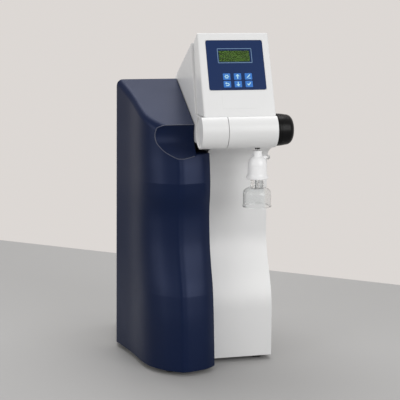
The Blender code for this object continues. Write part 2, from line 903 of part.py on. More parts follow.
def head_rear_shell():
    """The wedge behind the head, on the column and the rear housing."""
    left = head_left - head_rim
    right = head_right + head_rim
    gap = fit_gap / cos(face_lean)
    brow_y, brow_z = head_brow()
    slope = tan(head_top_slope)
    join_y = brow_y + gap
    rest = fit_gap * 2
    tail_share = (housing_top_front - housing_top_back) / (housing_depth - housing_front)
    tail_y = (brow_z + brow_y * slope - housing_top_front - rest - housing_front * tail_share)
    tail_y = tail_y / (slope - tail_share)
    tail_z = housing_top(tail_y) + rest
    back_y = door_back - fit_gap
    ledge = face_foot - fit_gap
    outline = [
        (join_y, brow_z), (side_seam(face_foot) + gap, ledge), (head_front_wall_y(), ledge),
        (head_front_wall_y(), head_floor), (back_y, head_floor), (back_y, housing_top(housing_front) + rest),
        (tail_y, tail_z),
    ]
    shell = add("head_rear_shell", flared(along_x(outline, left, right)),
                finish("head_grey", grey_white, 0.4))
    bevel = shell.modifiers.new("edge_round", "BEVEL")
    bevel.width = edge_round * 3 / 5
    bevel.segments = 2
    bevel.limit_method = "ANGLE"
    bevel.angle_limit = edge_angle
    roof = thin_wall / cos(head_top_slope)
    deep_y = back_y - thin_wall
    seam_lean = (brow_y - side_seam(face_foot)) / (brow_z - face_foot)
    behind = gap + thin_wall
    roof_z = brow_z - roof - behind * slope
    hollow = [
        (brow_y + behind - roof * seam_lean, roof_z),
        (side_seam(face_foot) + behind, ledge - thin_wall),
        (head_front_wall_y() + thin_wall, ledge - thin_wall),
        (head_front_wall_y() + thin_wall, head_floor + thin_wall), (deep_y, head_floor + thin_wall),
        (deep_y, brow_z - roof - (deep_y - brow_y) * slope),
    ]
    tool = flared(along_x(hollow, left + thin_wall, right - thin_wall))
    cut(shell, add("rear_shell_hollow", tool))
    low_z = face_foot + 2 * thin_wall
    low_y = side_seam(low_z)
    high_y = side_seam(roof_z)
    mouth = [(low_y - cut_past, low_z), (low_y + 2 * behind, low_z), (high_y + 2 * behind, roof_z),
             (high_y - cut_past, roof_z)]
    cut(shell, add("rear_shell_mouth", along_x(mouth, head_left + thin_wall, head_right - thin_wall)))
    low = (column_left + 4 * shell_wall, column_step + column_flange, head_floor - cut_past)
    high = (right - 4 * shell_wall, back_y - 4 * shell_wall, head_floor + 2 * cut_past)
    cut(shell, add("rear_shell_floor_hole", block(low, high)))
    return shell


def head_front_wall_y():
    """The rear shell's front wall stands just behind the barrel."""
    return barrel_front + barrel_radius + 2 * fit_gap


# Control face

def control_overlay():
    blue = finish("overlay_blue", panel_blue, 0.3)
    steps = 4
    outline = []
    centres = (
        (overlay_right - overlay_corner, overlay_high - overlay_corner, 0),
        (overlay_left + overlay_corner, overlay_high - overlay_corner, 1),
        (overlay_left + overlay_corner, overlay_low + overlay_corner, 2),
        (overlay_right - overlay_corner, overlay_low + overlay_corner, 3),
    )
    for x, y, quarter in centres:
        for i in range(steps + 1):
            turn = pi / 2 * (quarter + i / steps)
            outline.append((x + overlay_corner * cos(turn), y + overlay_corner * sin(turn)))
    low = -overlay_recess + fit_gap
    overlay = add("control_overlay", along_z(outline, low, low + overlay_thick), blue, face_frame)
    holes = [((window_left, window_low), (window_right, window_high))]
    holes += [((x, y), (x + key_width, y + key_height)) for _, x, y in key_places()]
    for i, ((x, y), (right, high)) in enumerate(holes):
        tool = block((x - fit_gap, y - fit_gap, -cut_past), (right + fit_gap, high + fit_gap, cut_past))
        cut(overlay, add(f"overlay_hole_{i}", tool, parent=face_frame))


def key_places():
    """Each key's name and low left corner on the face."""
    names = (("back", "down", "confirm"), ("measure", "up", "edit"))
    places = []
    for row, row_names in enumerate(names):
        for column, name in enumerate(row_names):
            x = key_first + column * key_pitch_across - key_width / 2
            places.append((name, x, key_row_centre + row * key_pitch_up - key_height / 2))
    return places


def display_and_keys():
    top = -overlay_recess + fit_gap + overlay_thick
    low = top - lcd_thick - overlay_thick
    lens = block((window_left, window_low, top - overlay_thick), (window_right, window_high, top))
    add("display_lens", lens, finish("display_clear", clear, 0.1), face_frame)
    margin = key_height / 4
    module = block((window_left - margin, window_low - margin, low),
                   (window_right + margin, window_high + margin, top - overlay_thick - fit_gap))
    add("display_module", module, finish("display_green", lcd_green, 0.4), face_frame)
    key_finish = finish("key_blue", key_blue, 0.35)
    for name, x, y in key_places():
        rise = top + key_proud
        key = add(f"key_{name}", block((x, y, rise - key_thick), (x + key_width, y + key_height, rise)),
                  key_finish, face_frame)
        bevel = key.modifiers.new("edge_round", "BEVEL")
        bevel.width = fit_gap
        bevel.segments = 1
    board_top = top + key_proud - key_thick - key_travel - fit_gap / 2
    margin = key_height / 8
    low = (key_first - key_width, key_row_centre - key_height / 2 - margin, board_top - keypad_thick)
    high = (key_first + 2 * key_pitch_across + key_width,
            key_row_centre + key_pitch_up + key_height / 2 + margin, board_top)
    board = block(low, high)
    add("keypad_board", board, finish("board_green", board_green, 0.5), face_frame)


# Barrel, valve and knob

def barrel_sections():
    white_plastic = finish("housing_white", white, 0.35)
    inner = barrel_radius - barrel_wall
    right_length = barrel_right - barrel_split - barrel_split_gap / 2
    left_length = barrel_split - barrel_split_gap / 2 - barrel_left
    round_edge = barrel_wall / 4
    axle_hole = stem_radius + 2 * fit_gap
    right_profile = [
        (barrel_radius - round_edge, 0), (barrel_radius, round_edge),
        (barrel_radius, right_length - round_edge), (barrel_radius - round_edge, right_length),
        (axle_hole, right_length), (axle_hole, right_length - barrel_wall),
        (inner, right_length - barrel_wall), (inner, 0),
    ]
    left_profile = [
        (barrel_radius - round_edge, 0), (barrel_radius, round_edge),
        (barrel_radius, left_length - round_edge), (barrel_radius - round_edge, left_length),
        (inner, left_length), (inner, 0),
    ]
    sections = []
    for name, profile, x in (
        ("barrel_right_section", right_profile, barrel_split + barrel_split_gap / 2),
        ("barrel_left_section", left_profile, barrel_left),
    ):
        place = (x, barrel_front, barrel_height)
        section = add(name, lay_x(turned(profile, round_steps, ring=True), place), white_plastic)
        sections.append(section)
    behind = barrel_front + barrel_radius + cut_past
    slab = [face_point(-fit_gap, cut_past * 3), face_point(-fit_gap, 0), (behind, face_foot - fit_gap),
            (behind, face_foot + barrel_radius), face_point(barrel_radius, cut_past * 3)]
    trim = add("barrel_trim", along_x(slab, barrel_left - cut_past, barrel_right + cut_past))
    for section in sections:
        cut(section, trim)
    port = put(rod(outlet_radius + 2 * fit_gap, 0, barrel_radius), (outlet_x, barrel_front,
                                                                barrel_height - barrel_radius - cut_past))
    cut(sections[0], add("outlet_port", port))
    disc = rod(inner - fit_gap, 0, end_cap_thick, round_steps)
    cap = add("barrel_end_cap", lay_x(disc, (barrel_left + end_cap_depth, barrel_front, barrel_height)),
              finish("head_grey", grey_white, 0.4))
    cut(cap, trim)


def dispense_valve():
    """The valve block inside the barrel, its turning stem, and the knob on the stem."""
    body_right = barrel_right - barrel_wall - fit_gap
    body_left = outlet_x - filter_radius
    seat = barrel_radius - barrel_wall - fit_gap
    length = body_right - body_left
    flange = barrel_wall * 2
    chamber = stem_radius + fit_gap
    profile = [
        (seat / 2, 0), (seat / 2, length - flange), (valve_flange_radius, length - flange),
        (valve_flange_radius, length),
        (chamber, length), (chamber, flange),
    ]
    shape = turned(profile + [(0, flange), (0, 0)], round_steps)
    valve = add("valve_body", lay_x(shape, (body_left, barrel_front, barrel_height)),
                finish("valve_black", black, 0.5))
    spout_top = barrel_height - seat / 4
    spout_low = barrel_height - barrel_radius - outlet_drop
    join(valve, add("valve_spout", put(rod(outlet_radius, spout_low + outlet_drop / 2, spout_top),
                                      (outlet_x, barrel_front, 0))))
    cut(valve, add("valve_spout_bore", put(rod(outlet_bore, spout_low - cut_past, spout_top + stem_radius),
                                          (outlet_x, barrel_front, 0))))
    stem_left = body_left + flange + fit_gap
    stem_right = barrel_right + collar_length + 2 * fit_gap + knob_length / 2
    stem = add("valve_stem", lay_x(rod(stem_radius, 0, stem_right - stem_left),
                                   (stem_left, barrel_front, barrel_height)),
               finish("steel", steel, 0.3, 1.0))
    set_pivot(stem, (stem_left, barrel_front, barrel_height))
    port = put(rod(outlet_bore, -barrel_radius, barrel_radius), (outlet_x, barrel_front, barrel_height))
    port.transform(Matrix.Translation((0, barrel_front, barrel_height)) @ Matrix.Rotation(pi / 2, 4, "X")
                   @ Matrix.Translation((0, -barrel_front, -barrel_height)))
    cut(stem, add("valve_stem_port", port))
    washer = tube(collar_radius, stem_radius + fit_gap, 0, collar_length)
    add("knob_collar", lay_x(washer, (barrel_right + fit_gap, barrel_front, barrel_height)),
        finish("knob_black", black, 0.45))
    knob_x = barrel_right + collar_length + 2 * fit_gap
    bore_end = knob_length / 2 + fit_gap
    steps = 5
    turns = [pi / 2 * i / steps for i in range(steps + 1)]
    rounded = [(knob_tip_radius - knob_round * (1 - cos(t)), knob_length - knob_round * (1 - sin(t)))
               for t in turns]
    profile = [(stem_radius + fit_gap / 2, 0), (knob_radius - fit_gap, 0), (knob_radius, fit_gap)]
    profile += rounded + [(0, knob_length), (0, bore_end), (stem_radius + fit_gap / 2, bore_end)]
    bm = knob_shape(profile)
    knob = add("dispense_knob", lay_x(bm, (knob_x, barrel_front, barrel_height)),
               finish("knob_black", black, 0.45))
    set_pivot(knob, (knob_x, barrel_front, barrel_height))


def knob_shape(profile):
    """A turned shape whose profile starts and ends on the bore's edge and crosses the axis twice."""
    bm = turned(profile, ring=True)
    loose = [face for face in bm.faces if face.calc_area() < fit_gap * fit_gap * fit_gap]
    bmesh.ops.delete(bm, geom=loose, context="FACES_ONLY")
    return bm


# Outlet and final filter

def outlet_and_filter():
    spout_low = barrel_height - barrel_radius - outlet_drop
    neck_top = filter_neck_top
    place = (outlet_x, barrel_front, 0)
    nozzle_high = spout_low + outlet_drop / 2 - fit_gap
    profile = [
        (outlet_bore, neck_top - filter_neck_radius), (outlet_tip_radius, neck_top - filter_neck_radius),
        (outlet_radius, nozzle_high), (outlet_bore, nozzle_high),
    ]
    add("outlet_nozzle", put(turned(profile, small_steps, ring=True), place),
        finish("clear_plastic", clear, 0.15))
    socket = outlet_radius + 2 * fit_gap
    steps = 5
    dome = []
    for i in range(steps + 1):
        turn = pi / 2 * i / steps
        dome.append((filter_neck_radius + (filter_radius - filter_neck_radius) * sin(turn),
                     filter_dome_low + (filter_dome_top - filter_dome_low) * cos(turn)))
    profile = [(socket, neck_top), (filter_neck_radius, neck_top)] + dome + [
        (filter_radius + fit_gap, filter_bottom + 2 * filter_flange_thick),
        (filter_flange_radius, filter_bottom + filter_flange_thick),
        (filter_flange_radius, filter_bottom),
        (outlet_bore, filter_bottom), (outlet_bore, neck_top - filter_neck_radius - fit_gap),
        (socket, neck_top - filter_neck_radius - fit_gap),
    ]
    capsule = add("filter_capsule", put(turned(profile, round_steps, ring=True), place),
                  finish("filter_white", white, 0.4))
    set_pivot(capsule, place)
    vent_x = outlet_x + filter_neck_radius / 2
    vent = rod(vent_stub_radius, 0, vent_stub_length, small_steps)
    join(capsule, add("filter_vent_stub", lay_x(vent, (vent_x, barrel_front, vent_height))))
    cap_x = vent_x + vent_stub_length + fit_gap
    cap = rod(vent_radius, 0, vent_cap_length, small_steps)
    vent_cap = add("filter_vent_cap", lay_x(cap, (cap_x, barrel_front, vent_height)),
                   finish("clear_plastic", clear, 0.15))
    set_pivot(vent_cap, (cap_x, barrel_front, vent_height))
    neck_high = filter_bottom - fit_gap
    rib = bell_wall / 2
    profile = [(outlet_bore, neck_high), (clear_neck_radius, neck_high)]
    ribs = 4
    pitch = (neck_high - clear_neck_bottom) / ribs
    for i in range(ribs):
        top = neck_high - i * pitch
        profile += [(clear_neck_radius, top - pitch / 4), (clear_neck_radius - rib, top - pitch / 2),
                    (clear_neck_radius - rib, top - pitch * 3 / 4), (clear_neck_radius, top - pitch)]
    profile.append((outlet_bore, clear_neck_bottom))
    add("filter_outlet_collar", put(turned(profile, round_steps, ring=True), place),
        finish("clear_plastic", clear, 0.15))
    set_pivot(bpy.data.objects["filter_outlet_collar"], place)
    bell_top = clear_neck_bottom - fit_gap
    outer = [(outlet_bore, bell_top), (clear_neck_radius, bell_top)]
    inner = [(outlet_bore, bell_top - bell_wall)]
    for i in range(steps + 1):
        turn = pi / 2 * i / steps
        across = sin(turn)
        down = (bell_top - bell_shoulder) * (1 - cos(turn))
        outer.append((clear_neck_radius + (bell_radius - clear_neck_radius) * across, bell_top - down))
        inner.append((clear_neck_radius + (bell_radius - bell_wall - clear_neck_radius) * across,
                      bell_top - bell_wall - down))
    outer.append((bell_radius, bell_bottom))
    inner.append((bell_radius - bell_wall, bell_bottom))
    bell = add("filter_bell", put(turned(outer + inner[::-1], round_steps, ring=True), place),
               finish("clear_plastic", clear, 0.15))
    set_pivot(bell, place)


# Cartridge bay

bay_back = housing_front - fit_gap
cap_radius = cartridge_radius + cartridge_cap_grow
cup_radius = cap_radius + fit_gap + cup_wall
rear_row_y = bay_back - cup_radius
front_row_y = rear_row_y - cap_radius - cup_radius - hinge_gap
prefilter_cup = prefilter_radius + cartridge_cap_grow + fit_gap + cup_wall
tray_low = foot_height + plate_thick + 2 * fit_gap
tray_high = tray_low + plate_thick * 2 / 3


def bay_outline(height, front, clearance):
    """The bay's plan inside the door at a height, from the bulkhead to a front line."""
    ring = door_ring(height, None, shell_wall + clearance, shell_wall + clearance, 0)
    side = [(x, y) for x, y, _ in ring[1:-1] if y > front + clearance and x < cartridge_row_x]
    right = door_right - shell_wall - hinge_gap - swing_room
    last_x, last_y = side[-1]
    return ([(ring[0][0] + clearance, bay_back)] + side
            + [(last_x + last_y - front, front), (right, front), (right, bay_back)])


def cartridge_places():
    """Name, centre and radius of each cartridge."""
    return (
        ("pretreatment_cartridge", cartridge_row_x, rear_row_y, cartridge_radius),
        ("polishing_cartridge", cartridge_row_x, front_row_y, cartridge_radius),
        ("prefilter_cartridge", prefilter_x, bay_back - prefilter_cup, prefilter_radius),
    )


def cartridges():
    grey = finish("chassis_grey", grey_white, 0.5)
    tray = add("cartridge_tray", along_z(bay_outline(tray_low, manifold_front / 2, plate_inset),
                                         tray_low, tray_high), grey)
    manifold_high = manifold_low + manifold_thick
    manifold_plan = bay_outline(manifold_low, manifold_front, bay_clearance)
    manifold = add("cartridge_manifold", along_z(manifold_plan, manifold_low, manifold_high), grey)
    for name, x, y, radius in cartridge_places():
        cap = radius + cartridge_cap_grow
        low = tray_high + fit_gap
        high = manifold_low - fit_gap
        profile = [
            (cap, low), (cap, low + cartridge_cap), (radius, low + cartridge_cap + cartridge_cap_grow),
            (radius, high - cartridge_cap - cartridge_cap_grow), (cap, high - cartridge_cap), (cap, high),
        ]
        cartridge = add(name, put(turned(profile, small_steps), (x, y, 0)),
                        finish("cartridge_white", white, 0.45))
        set_pivot(cartridge, (x, y, 0))
        cup = tube(cap + fit_gap + cup_wall, cap + fit_gap, tray_high - fit_gap, tray_high + cup_height,
                   small_steps)
        join(tray, add(name + "_cup", put(cup, (x, y, 0))))
        port = rod(radius / 3, manifold_high - fit_gap, manifold_high + fit_gap, small_steps)
        join(manifold, add(name + "_port", put(port, (x, y, 0))))


# Rear compartment

panel_inner = housing_depth - fit_gap - back_panel_thick


def back_panel():
    panel = add("back_panel", block(
        (back_panel_left + fit_gap, panel_inner, back_panel_low + fit_gap),
        (back_panel_right - fit_gap, housing_depth - fit_gap, back_panel_high - fit_gap)),
        finish("chassis_grey", grey_white, 0.5))
    names = ("feed_inlet_fitting", "return_fitting", "drain_fitting")
    for i, name in enumerate(names):
        place = (fitting_first + i * fitting_pitch, panel_inner, fitting_height)
        hole = rod(thread_radius + fit_gap, -cut_past, back_panel_thick + cut_past)
        cut(panel, add(name + "_hole", lay_y(hole, place)))
        seat = back_panel_thick + fit_gap
        profile = [
            (fitting_bore, -thread_length), (thread_radius, -thread_length), (thread_radius, seat),
            (fitting_radius, seat), (fitting_radius, seat + fitting_nut),
            (fitting_tip_radius, seat + fitting_nut + fitting_radius - fitting_tip_radius),
            (fitting_tip_radius, seat + fitting_reach),
            (fitting_bore, seat + fitting_reach),
        ]
        add(name, lay_y(turned(profile, small_steps, ring=True), place),
            finish("fitting_grey", grey_white, 0.4))
    return panel


def power_inlet(panel):
    """The mains socket and its switch in one snap-in module."""
    half = inlet_width / 2 + inlet_wall
    low_z = inlet_z - inlet_height / 2 - inlet_wall
    high_z = inlet_z + inlet_height / 2 + 2 * inlet_wall + rocker_height + inlet_wall
    body = block((inlet_x - half, panel_inner - inlet_depth, low_z), (inlet_x + half, housing_depth, high_z))
    module = add("power_inlet", body, finish("inlet_black", black, 0.45))
    cut(panel, add("inlet_hole", block(
        (inlet_x - half - fit_gap, panel_inner - cut_past, low_z - fit_gap),
        (inlet_x + half + fit_gap, housing_depth + cut_past, high_z + fit_gap))))
    rim = inlet_flange
    join(module, add("inlet_flange", block(
        (inlet_x - half - rim, housing_depth, low_z - rim),
        (inlet_x + half + rim, housing_depth + inlet_flange / 2, high_z + rim))))
    face = housing_depth + inlet_flange / 2
    cut(module, add("inlet_socket", block(
        (inlet_x - inlet_width / 2, face - socket_depth, inlet_z - inlet_height / 2),
        (inlet_x + inlet_width / 2, face + cut_past, inlet_z + inlet_height / 2))))
    for i in (-1, 0, 1):
        x = inlet_x + i * inlet_width / 4
        z = inlet_z + (0 if i else inlet_height / 5)
        join(module, add(f"inlet_pin_{i + 1}", block(
            (x - earth_pin / 2, face - socket_depth - inlet_wall / 2, z - earth_pin),
            (x + earth_pin / 2, face - socket_depth / 4, z + earth_pin))))
    rocker_z = inlet_z + inlet_height / 2 + 2 * inlet_wall + rocker_height / 2
    side = rocker_width / 2 + fit_gap
    tall = rocker_height / 2 + 2 * fit_gap
    cut(module, add("rocker_pocket", block(
        (inlet_x - side, face - rocker_thick - rocker_rise, rocker_z - tall),
        (inlet_x + side, face + cut_past, rocker_z + tall))))
    half_width = rocker_width / 2
    half_height = rocker_height / 2
    bow = rocker_rise / 2
    outline = [
        (-half_height, -rocker_thick / 3), (half_height, -rocker_thick / 3), (half_height, rocker_rise / 2),
        (0, rocker_rise / 2 - bow), (-half_height, rocker_rise / 2),
    ]
    lean = [(y * sin(rocker_tilt) + z * cos(rocker_tilt), y * cos(rocker_tilt) - z * sin(rocker_tilt))
            for y, z in outline]
    axle_y = face - rocker_thick / 3
    rocker = add("power_switch", along_x([(axle_y + y, rocker_z + z) for y, z in lean],
                                         inlet_x - half_width, inlet_x + half_width),
                 finish("rocker_black", black, 0.35))
    axle = lay_x(rod(earth_pin / 2, -half_width - fit_gap / 2, half_width + fit_gap / 2, small_steps),
                 (inlet_x, axle_y, rocker_z))
    join(rocker, add("rocker_axle", axle))
    set_pivot(rocker, (inlet_x, axle_y, rocker_z))


def pump():
    seat = foot_height + plate_thick + 2 * fit_gap
    metal = finish("steel", steel, 0.3, 1.0)
    motor = add("pump_motor", lay_x(rod(pump_radius, 0, pump_motor_length, round_steps),
                                    (pump_left, pump_y, pump_z)), metal)
    join(motor, add("pump_foot", block(
        (pump_left + pump_foot / 4, pump_y - pump_foot, seat),
        (pump_left + pump_motor_length - pump_foot / 4, pump_y + pump_foot, pump_z - pump_radius / 2))))
    head_left_x = pump_left + pump_motor_length + fit_gap
    length = pump_head_length
    wide = pump_radius + cup_wall
    profile = [(wide, 0), (wide, pump_head_rim), (pump_head_radius, pump_head_rim * 4 / 3),
               (pump_head_radius, length)]
    add("pump_head", lay_x(turned(profile), (head_left_x, pump_y, pump_z)),
        finish("pump_black", black, 0.5))


def treatment_modules():
    """The UV lamp housing, the ultrafilter and the bracket that clips both to the rear wall."""
    metal = finish("steel", steel, 0.3, 1.0)
    cap = lamp_radius + cup_wall
    profile = [
        (cap, 0), (cap, lamp_cap), (lamp_radius, lamp_cap), (lamp_radius, lamp_length - lamp_cap),
        (cap, lamp_length - lamp_cap), (cap, lamp_length),
    ]
    add("uv_lamp_housing", put(turned(profile), (lamp_x, module_y, lamp_low)), metal)
    cap = ultrafilter_radius + cup_wall
    profile = [
        (cap, 0), (cap, lamp_cap), (ultrafilter_radius, lamp_cap),
        (ultrafilter_radius, ultrafilter_length - lamp_cap), (cap, ultrafilter_length - lamp_cap),
        (cap, ultrafilter_length),
    ]
    place = (ultrafilter_x, module_y, ultrafilter_low)
    add("ultrafilter", put(turned(profile), place), finish("cartridge_white", white, 0.45))
    top = ultrafilter_low + ultrafilter_length + fit_gap
    cell = turned([(cell_radius, 0), (cell_radius, cell_body_length), (cell_top_radius, cell_body_length),
                   (cell_top_radius, cell_length)], small_steps)
    add("conductivity_cell", put(cell, (ultrafilter_x, module_y, top)),
        finish("fitting_grey", grey_white, 0.4))
    margin = clip_height
    bracket = add("module_bracket", block(
        (lamp_x - lamp_radius - margin / 2, module_y + lamp_radius / 4, clip_low),
        (ultrafilter_x + ultrafilter_radius + margin / 2, housing_depth - shell_wall - fit_gap,
         clip_low + clip_height)), finish("chassis_grey", grey_white, 0.5))
    for i, (x, radius) in enumerate(((lamp_x, lamp_radius), (ultrafilter_x, ultrafilter_radius))):
        hole = rod(radius + fit_gap, clip_low - cut_past, clip_low + clip_height + cut_past, round_steps)
        cut(bracket, add(f"module_clip_{i}", put(hole, (x, module_y, 0))))


def electrics():
    rear = housing_front + fit_gap + bulkhead_thick + fit_gap
    add("power_supply", block(
        (supply_left, rear, supply_low), (supply_left + supply_width, rear + supply_depth,
                                          supply_low + supply_height)), finish("steel", steel, 0.3, 1.0))
    wall = bpy.data.objects["bay_inner_wall"]
    wall_x = column_left + shell_wall
    board_x = wall_x + standoff_length + fit_gap
    board = add("main_board", block((board_x, board_front, board_low),
                                    (board_x + board_thick, board_back, board_high)),
                finish("board_green", board_green, 0.5))
    margin = 4 * standoff_radius
    width = board_back - board_front
    for i, (front_share, low_share, back_share, high_share, thick_share) in enumerate(board_part_shares):
        join(board, add(f"board_part_{i}", block(
            (board_x + board_thick / 2, board_front + width * front_share,
             board_low + board_length * low_share),
            (board_x + board_thick * (1 + thick_share), board_front + width * back_share,
             board_low + board_length * high_share))))
    for i, (y, z) in enumerate((
        (board_back - margin / 2, board_low + margin), (board_back - margin / 2, board_high - margin),
        (column_step + column_flange + margin / 2, board_high - margin),
    )):
        post = lay_x(rod(standoff_radius, -fit_gap, standoff_length, small_steps), (wall_x, y, z))
        join(wall, add(f"standoff_{i}", post))


def solenoid_valve():
    """The feed valve on the inner end of the feed fitting."""
    back = panel_inner - thread_length - fit_gap
    half = valve_size / 2
    valve = add("solenoid_valve", block(
        (fitting_first - half, back - valve_depth, fitting_height - half),
        (fitting_first + half, back, fitting_height + half)), finish("fitting_grey", grey_white, 0.4))
    coil = rod(coil_radius, half - cup_wall, half + valve_size, small_steps)
    join(valve, add("solenoid_coil", put(coil, (fitting_first, back - valve_depth / 2, fitting_height))))
    return back - valve_depth / 2


def run_tube(name, route):
    """A tube through points of the machine frame."""
    points = flowing(route, 4)
    curve = bpy.data.curves.new(name, "CURVE")
    curve.dimensions = "3D"
    curve.bevel_depth = tube_radius
    curve.bevel_resolution = 2
    curve.use_fill_caps = True
    spline = curve.splines.new("POLY")
    spline.points.add(len(points) - 1)
    for spot, point in zip(spline.points, points):
        spot.co = (*point, 1)
    curve.materials.append(finish("clear_plastic", clear, 0.15))
    piece = bpy.data.objects.new(name, curve)
    bpy.context.scene.collection.objects.link(piece)
    piece.parent = machine
    return piece


def tubes(valve_y):
    """The feed tube to the pump, and the product tube from the cell to the dispense valve."""
    start = fitting_first + valve_size / 2 + fit_gap
    pump_x = pump_left + pump_motor_length + fit_gap + pump_head_length - pump_head_rim
    pump_top = pump_z + pump_head_radius + fit_gap
    low = fitting_height - valve_size / 6
    step = valve_size / 2
    run_tube("feed_tube", [
        (start, valve_y, low), (start + step / 4, valve_y, low), (start + step / 2, valve_y, low),
        (start + 3 * step, valve_y, low + step), (pump_x - step, valve_y - step / 2, pump_top + 1.5 * step),
        (pump_x, pump_y + step / 2, pump_top + 1.5 * step), (pump_x, pump_y, pump_top + step / 2),
        (pump_x, pump_y, pump_top + step / 4), (pump_x, pump_y, pump_top),
    ])
    cell_top = ultrafilter_low + ultrafilter_length + 2 * fit_gap + cell_length
    valve_x = outlet_x + stem_radius / 2
    valve_back = barrel_front + (barrel_radius - barrel_wall - fit_gap) / 2 + fit_gap
    front_wall = head_front_wall_y()
    route = [
        (ultrafilter_x, module_y, cell_top), (ultrafilter_x, module_y, cell_top + step / 4),
        (ultrafilter_x, module_y, cell_top + step / 2),
        (ultrafilter_x + step, module_y - 2 * step, cell_top + step / 2),
        (valve_x - step, housing_front + 2 * step, tube_path_height),
        (valve_x, housing_front + step, tube_path_height), (valve_x, door_back - step, tube_path_height),
        (valve_x, front_wall + 3 * step, barrel_height + step / 4),
        (valve_x, front_wall + step, barrel_height), (valve_x, front_wall - step / 4, barrel_height),
        (valve_x, valve_back, barrel_height),
    ]
    run_tube("product_tube", route)
    clear_radius = tube_radius + 2 * hinge_gap
    back_hole = lay_y(rod(clear_radius, -step, step, small_steps),
                      (valve_x, housing_front, tube_path_height))
    back_hole = add("tube_hole_back", back_hole)
    front_hole = lay_y(rod(clear_radius, 0, front_wall - valve_back + step, small_steps),
                       (valve_x, valve_back, barrel_height))
    front_hole = add("tube_hole_front", front_hole)
    cut(bpy.data.objects["bay_bulkhead"], back_hole)
    cut(bpy.data.objects["head_rear_shell"], back_hole, front_hole)
    cut(bpy.data.objects["barrel_right_section"], front_hole)


base_plate()
feet()
front_column()
side_walls()
rear_housing()
bulkhead()
cartridge_door()
door_hardware()
head_front_shell()
head_rear_shell()
control_overlay()
display_and_keys()
barrel_sections()
dispense_valve()
outlet_and_filter()
cartridges()
panel = back_panel()
power_inlet(panel)
pump()
treatment_modules()
electrics()
tubes(solenoid_valve())

# The origin goes under the middle of the whole machine, on the surface it stands on
knob_end = barrel_right + collar_length + 2 * fit_gap + knob_length
rear_end = housing_depth + fitting_reach
front_end = barrel_front - barrel_radius
machine.location = (-(door_left + knob_end) / 2, -(front_end + rear_end) / 2, 0)
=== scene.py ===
import json
from math import atan, cos, pi, radians, sin, tan

import bpy
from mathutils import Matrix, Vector

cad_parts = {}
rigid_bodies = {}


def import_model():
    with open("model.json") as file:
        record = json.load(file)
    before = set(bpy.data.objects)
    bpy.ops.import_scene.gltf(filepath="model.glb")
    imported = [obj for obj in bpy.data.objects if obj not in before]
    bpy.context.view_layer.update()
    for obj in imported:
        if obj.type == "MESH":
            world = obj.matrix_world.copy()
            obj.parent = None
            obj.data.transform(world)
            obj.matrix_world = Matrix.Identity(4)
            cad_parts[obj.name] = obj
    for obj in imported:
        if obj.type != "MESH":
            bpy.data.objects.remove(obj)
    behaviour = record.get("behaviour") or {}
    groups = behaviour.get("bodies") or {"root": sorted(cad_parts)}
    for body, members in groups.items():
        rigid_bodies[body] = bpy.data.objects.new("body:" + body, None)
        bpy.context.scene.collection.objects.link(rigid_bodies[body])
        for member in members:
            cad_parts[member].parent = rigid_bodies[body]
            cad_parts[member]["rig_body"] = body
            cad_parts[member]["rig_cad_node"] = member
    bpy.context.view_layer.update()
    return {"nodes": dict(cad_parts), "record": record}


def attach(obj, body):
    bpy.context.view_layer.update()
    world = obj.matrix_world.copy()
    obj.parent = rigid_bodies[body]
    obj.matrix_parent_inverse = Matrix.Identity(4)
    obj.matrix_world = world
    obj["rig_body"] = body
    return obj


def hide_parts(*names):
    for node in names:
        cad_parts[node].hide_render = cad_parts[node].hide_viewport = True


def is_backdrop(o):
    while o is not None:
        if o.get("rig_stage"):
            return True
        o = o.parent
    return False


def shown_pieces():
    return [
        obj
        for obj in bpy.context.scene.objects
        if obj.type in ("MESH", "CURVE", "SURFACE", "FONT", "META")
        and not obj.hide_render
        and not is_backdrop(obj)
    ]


# Ultrapure water system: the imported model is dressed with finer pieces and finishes.
# Pieces are drawn in the machine's own frame and moved to the machine's place at the end.
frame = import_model()
nodes = frame["nodes"]
record = frame["record"]
machinePlace = Vector((0.023, -0.11125, 0))
bodies = record["behaviour"]["bodies"]
bodyOf = {node: body for body, members in bodies.items() for node in members}
slotOf = {row["node"]: row["material_slot"] for row in record["subparts"]}

# Camera, light and floor
studio = {
    "lens": 90, "sensor": 36, "clip": (0.05, 50),
    "cameraPlace": (-0.383, -1.87625, 0.647), "pitch": atan(0.184), "yaw": radians(12),
    "backdrop": (0.72, 0.685, 0.66, 1), "light": (1, 1, 1, 1), "ambient": 0.42,
    "floor": (0.43, 0.425, 0.42), "floorRough": 0.7,
    "floorSides": (-2.2, 2.2, -2.2, 0.623), "floorTurn": radians(-36.9),
}

lamps = {
    # name: place, aim, width, height, watts
    "ceiling": ((0.15, 0.4, 2.3), (0, 0, 0.3), 1.7, 1.05, 22.5),
    "frontRight": ((1.5, -2.6, 1.35), (0, 0, 0.35), 1.9, 1.8, 42),
    "leftWall": ((-2.3, -1.1, 1.0), (0, 0, 0.4), 1.3, 1.7, 15),
    "back": ((-0.6, 2.4, 1.9), (0, 0, 0.3), 1.6, 1.2, 12),
}


def placed(name, data, place, angles):
    made = bpy.data.objects.new(name, data)
    bpy.context.scene.collection.objects.link(made)
    made.location = place
    made.rotation_euler = angles
    return made


def makeCamera():
    data = bpy.data.cameras.new("camera")
    data.lens = studio["lens"]
    data.sensor_width = studio["sensor"]
    data.clip_start, data.clip_end = studio["clip"]
    angles = (pi / 2 - studio["pitch"], 0, -studio["yaw"])
    bpy.context.scene.camera = placed("camera", data, studio["cameraPlace"], angles)


def makeLamps():
    for name, (place, aim, width, height, watts) in lamps.items():
        data = bpy.data.lights.new(name, "AREA")
        data.shape = "RECTANGLE"
        data.size = width
        data.size_y = height
        data.energy = watts
        placed(name, data, place, (Vector(aim) - Vector(place)).to_track_quat("-Z", "Y").to_euler())


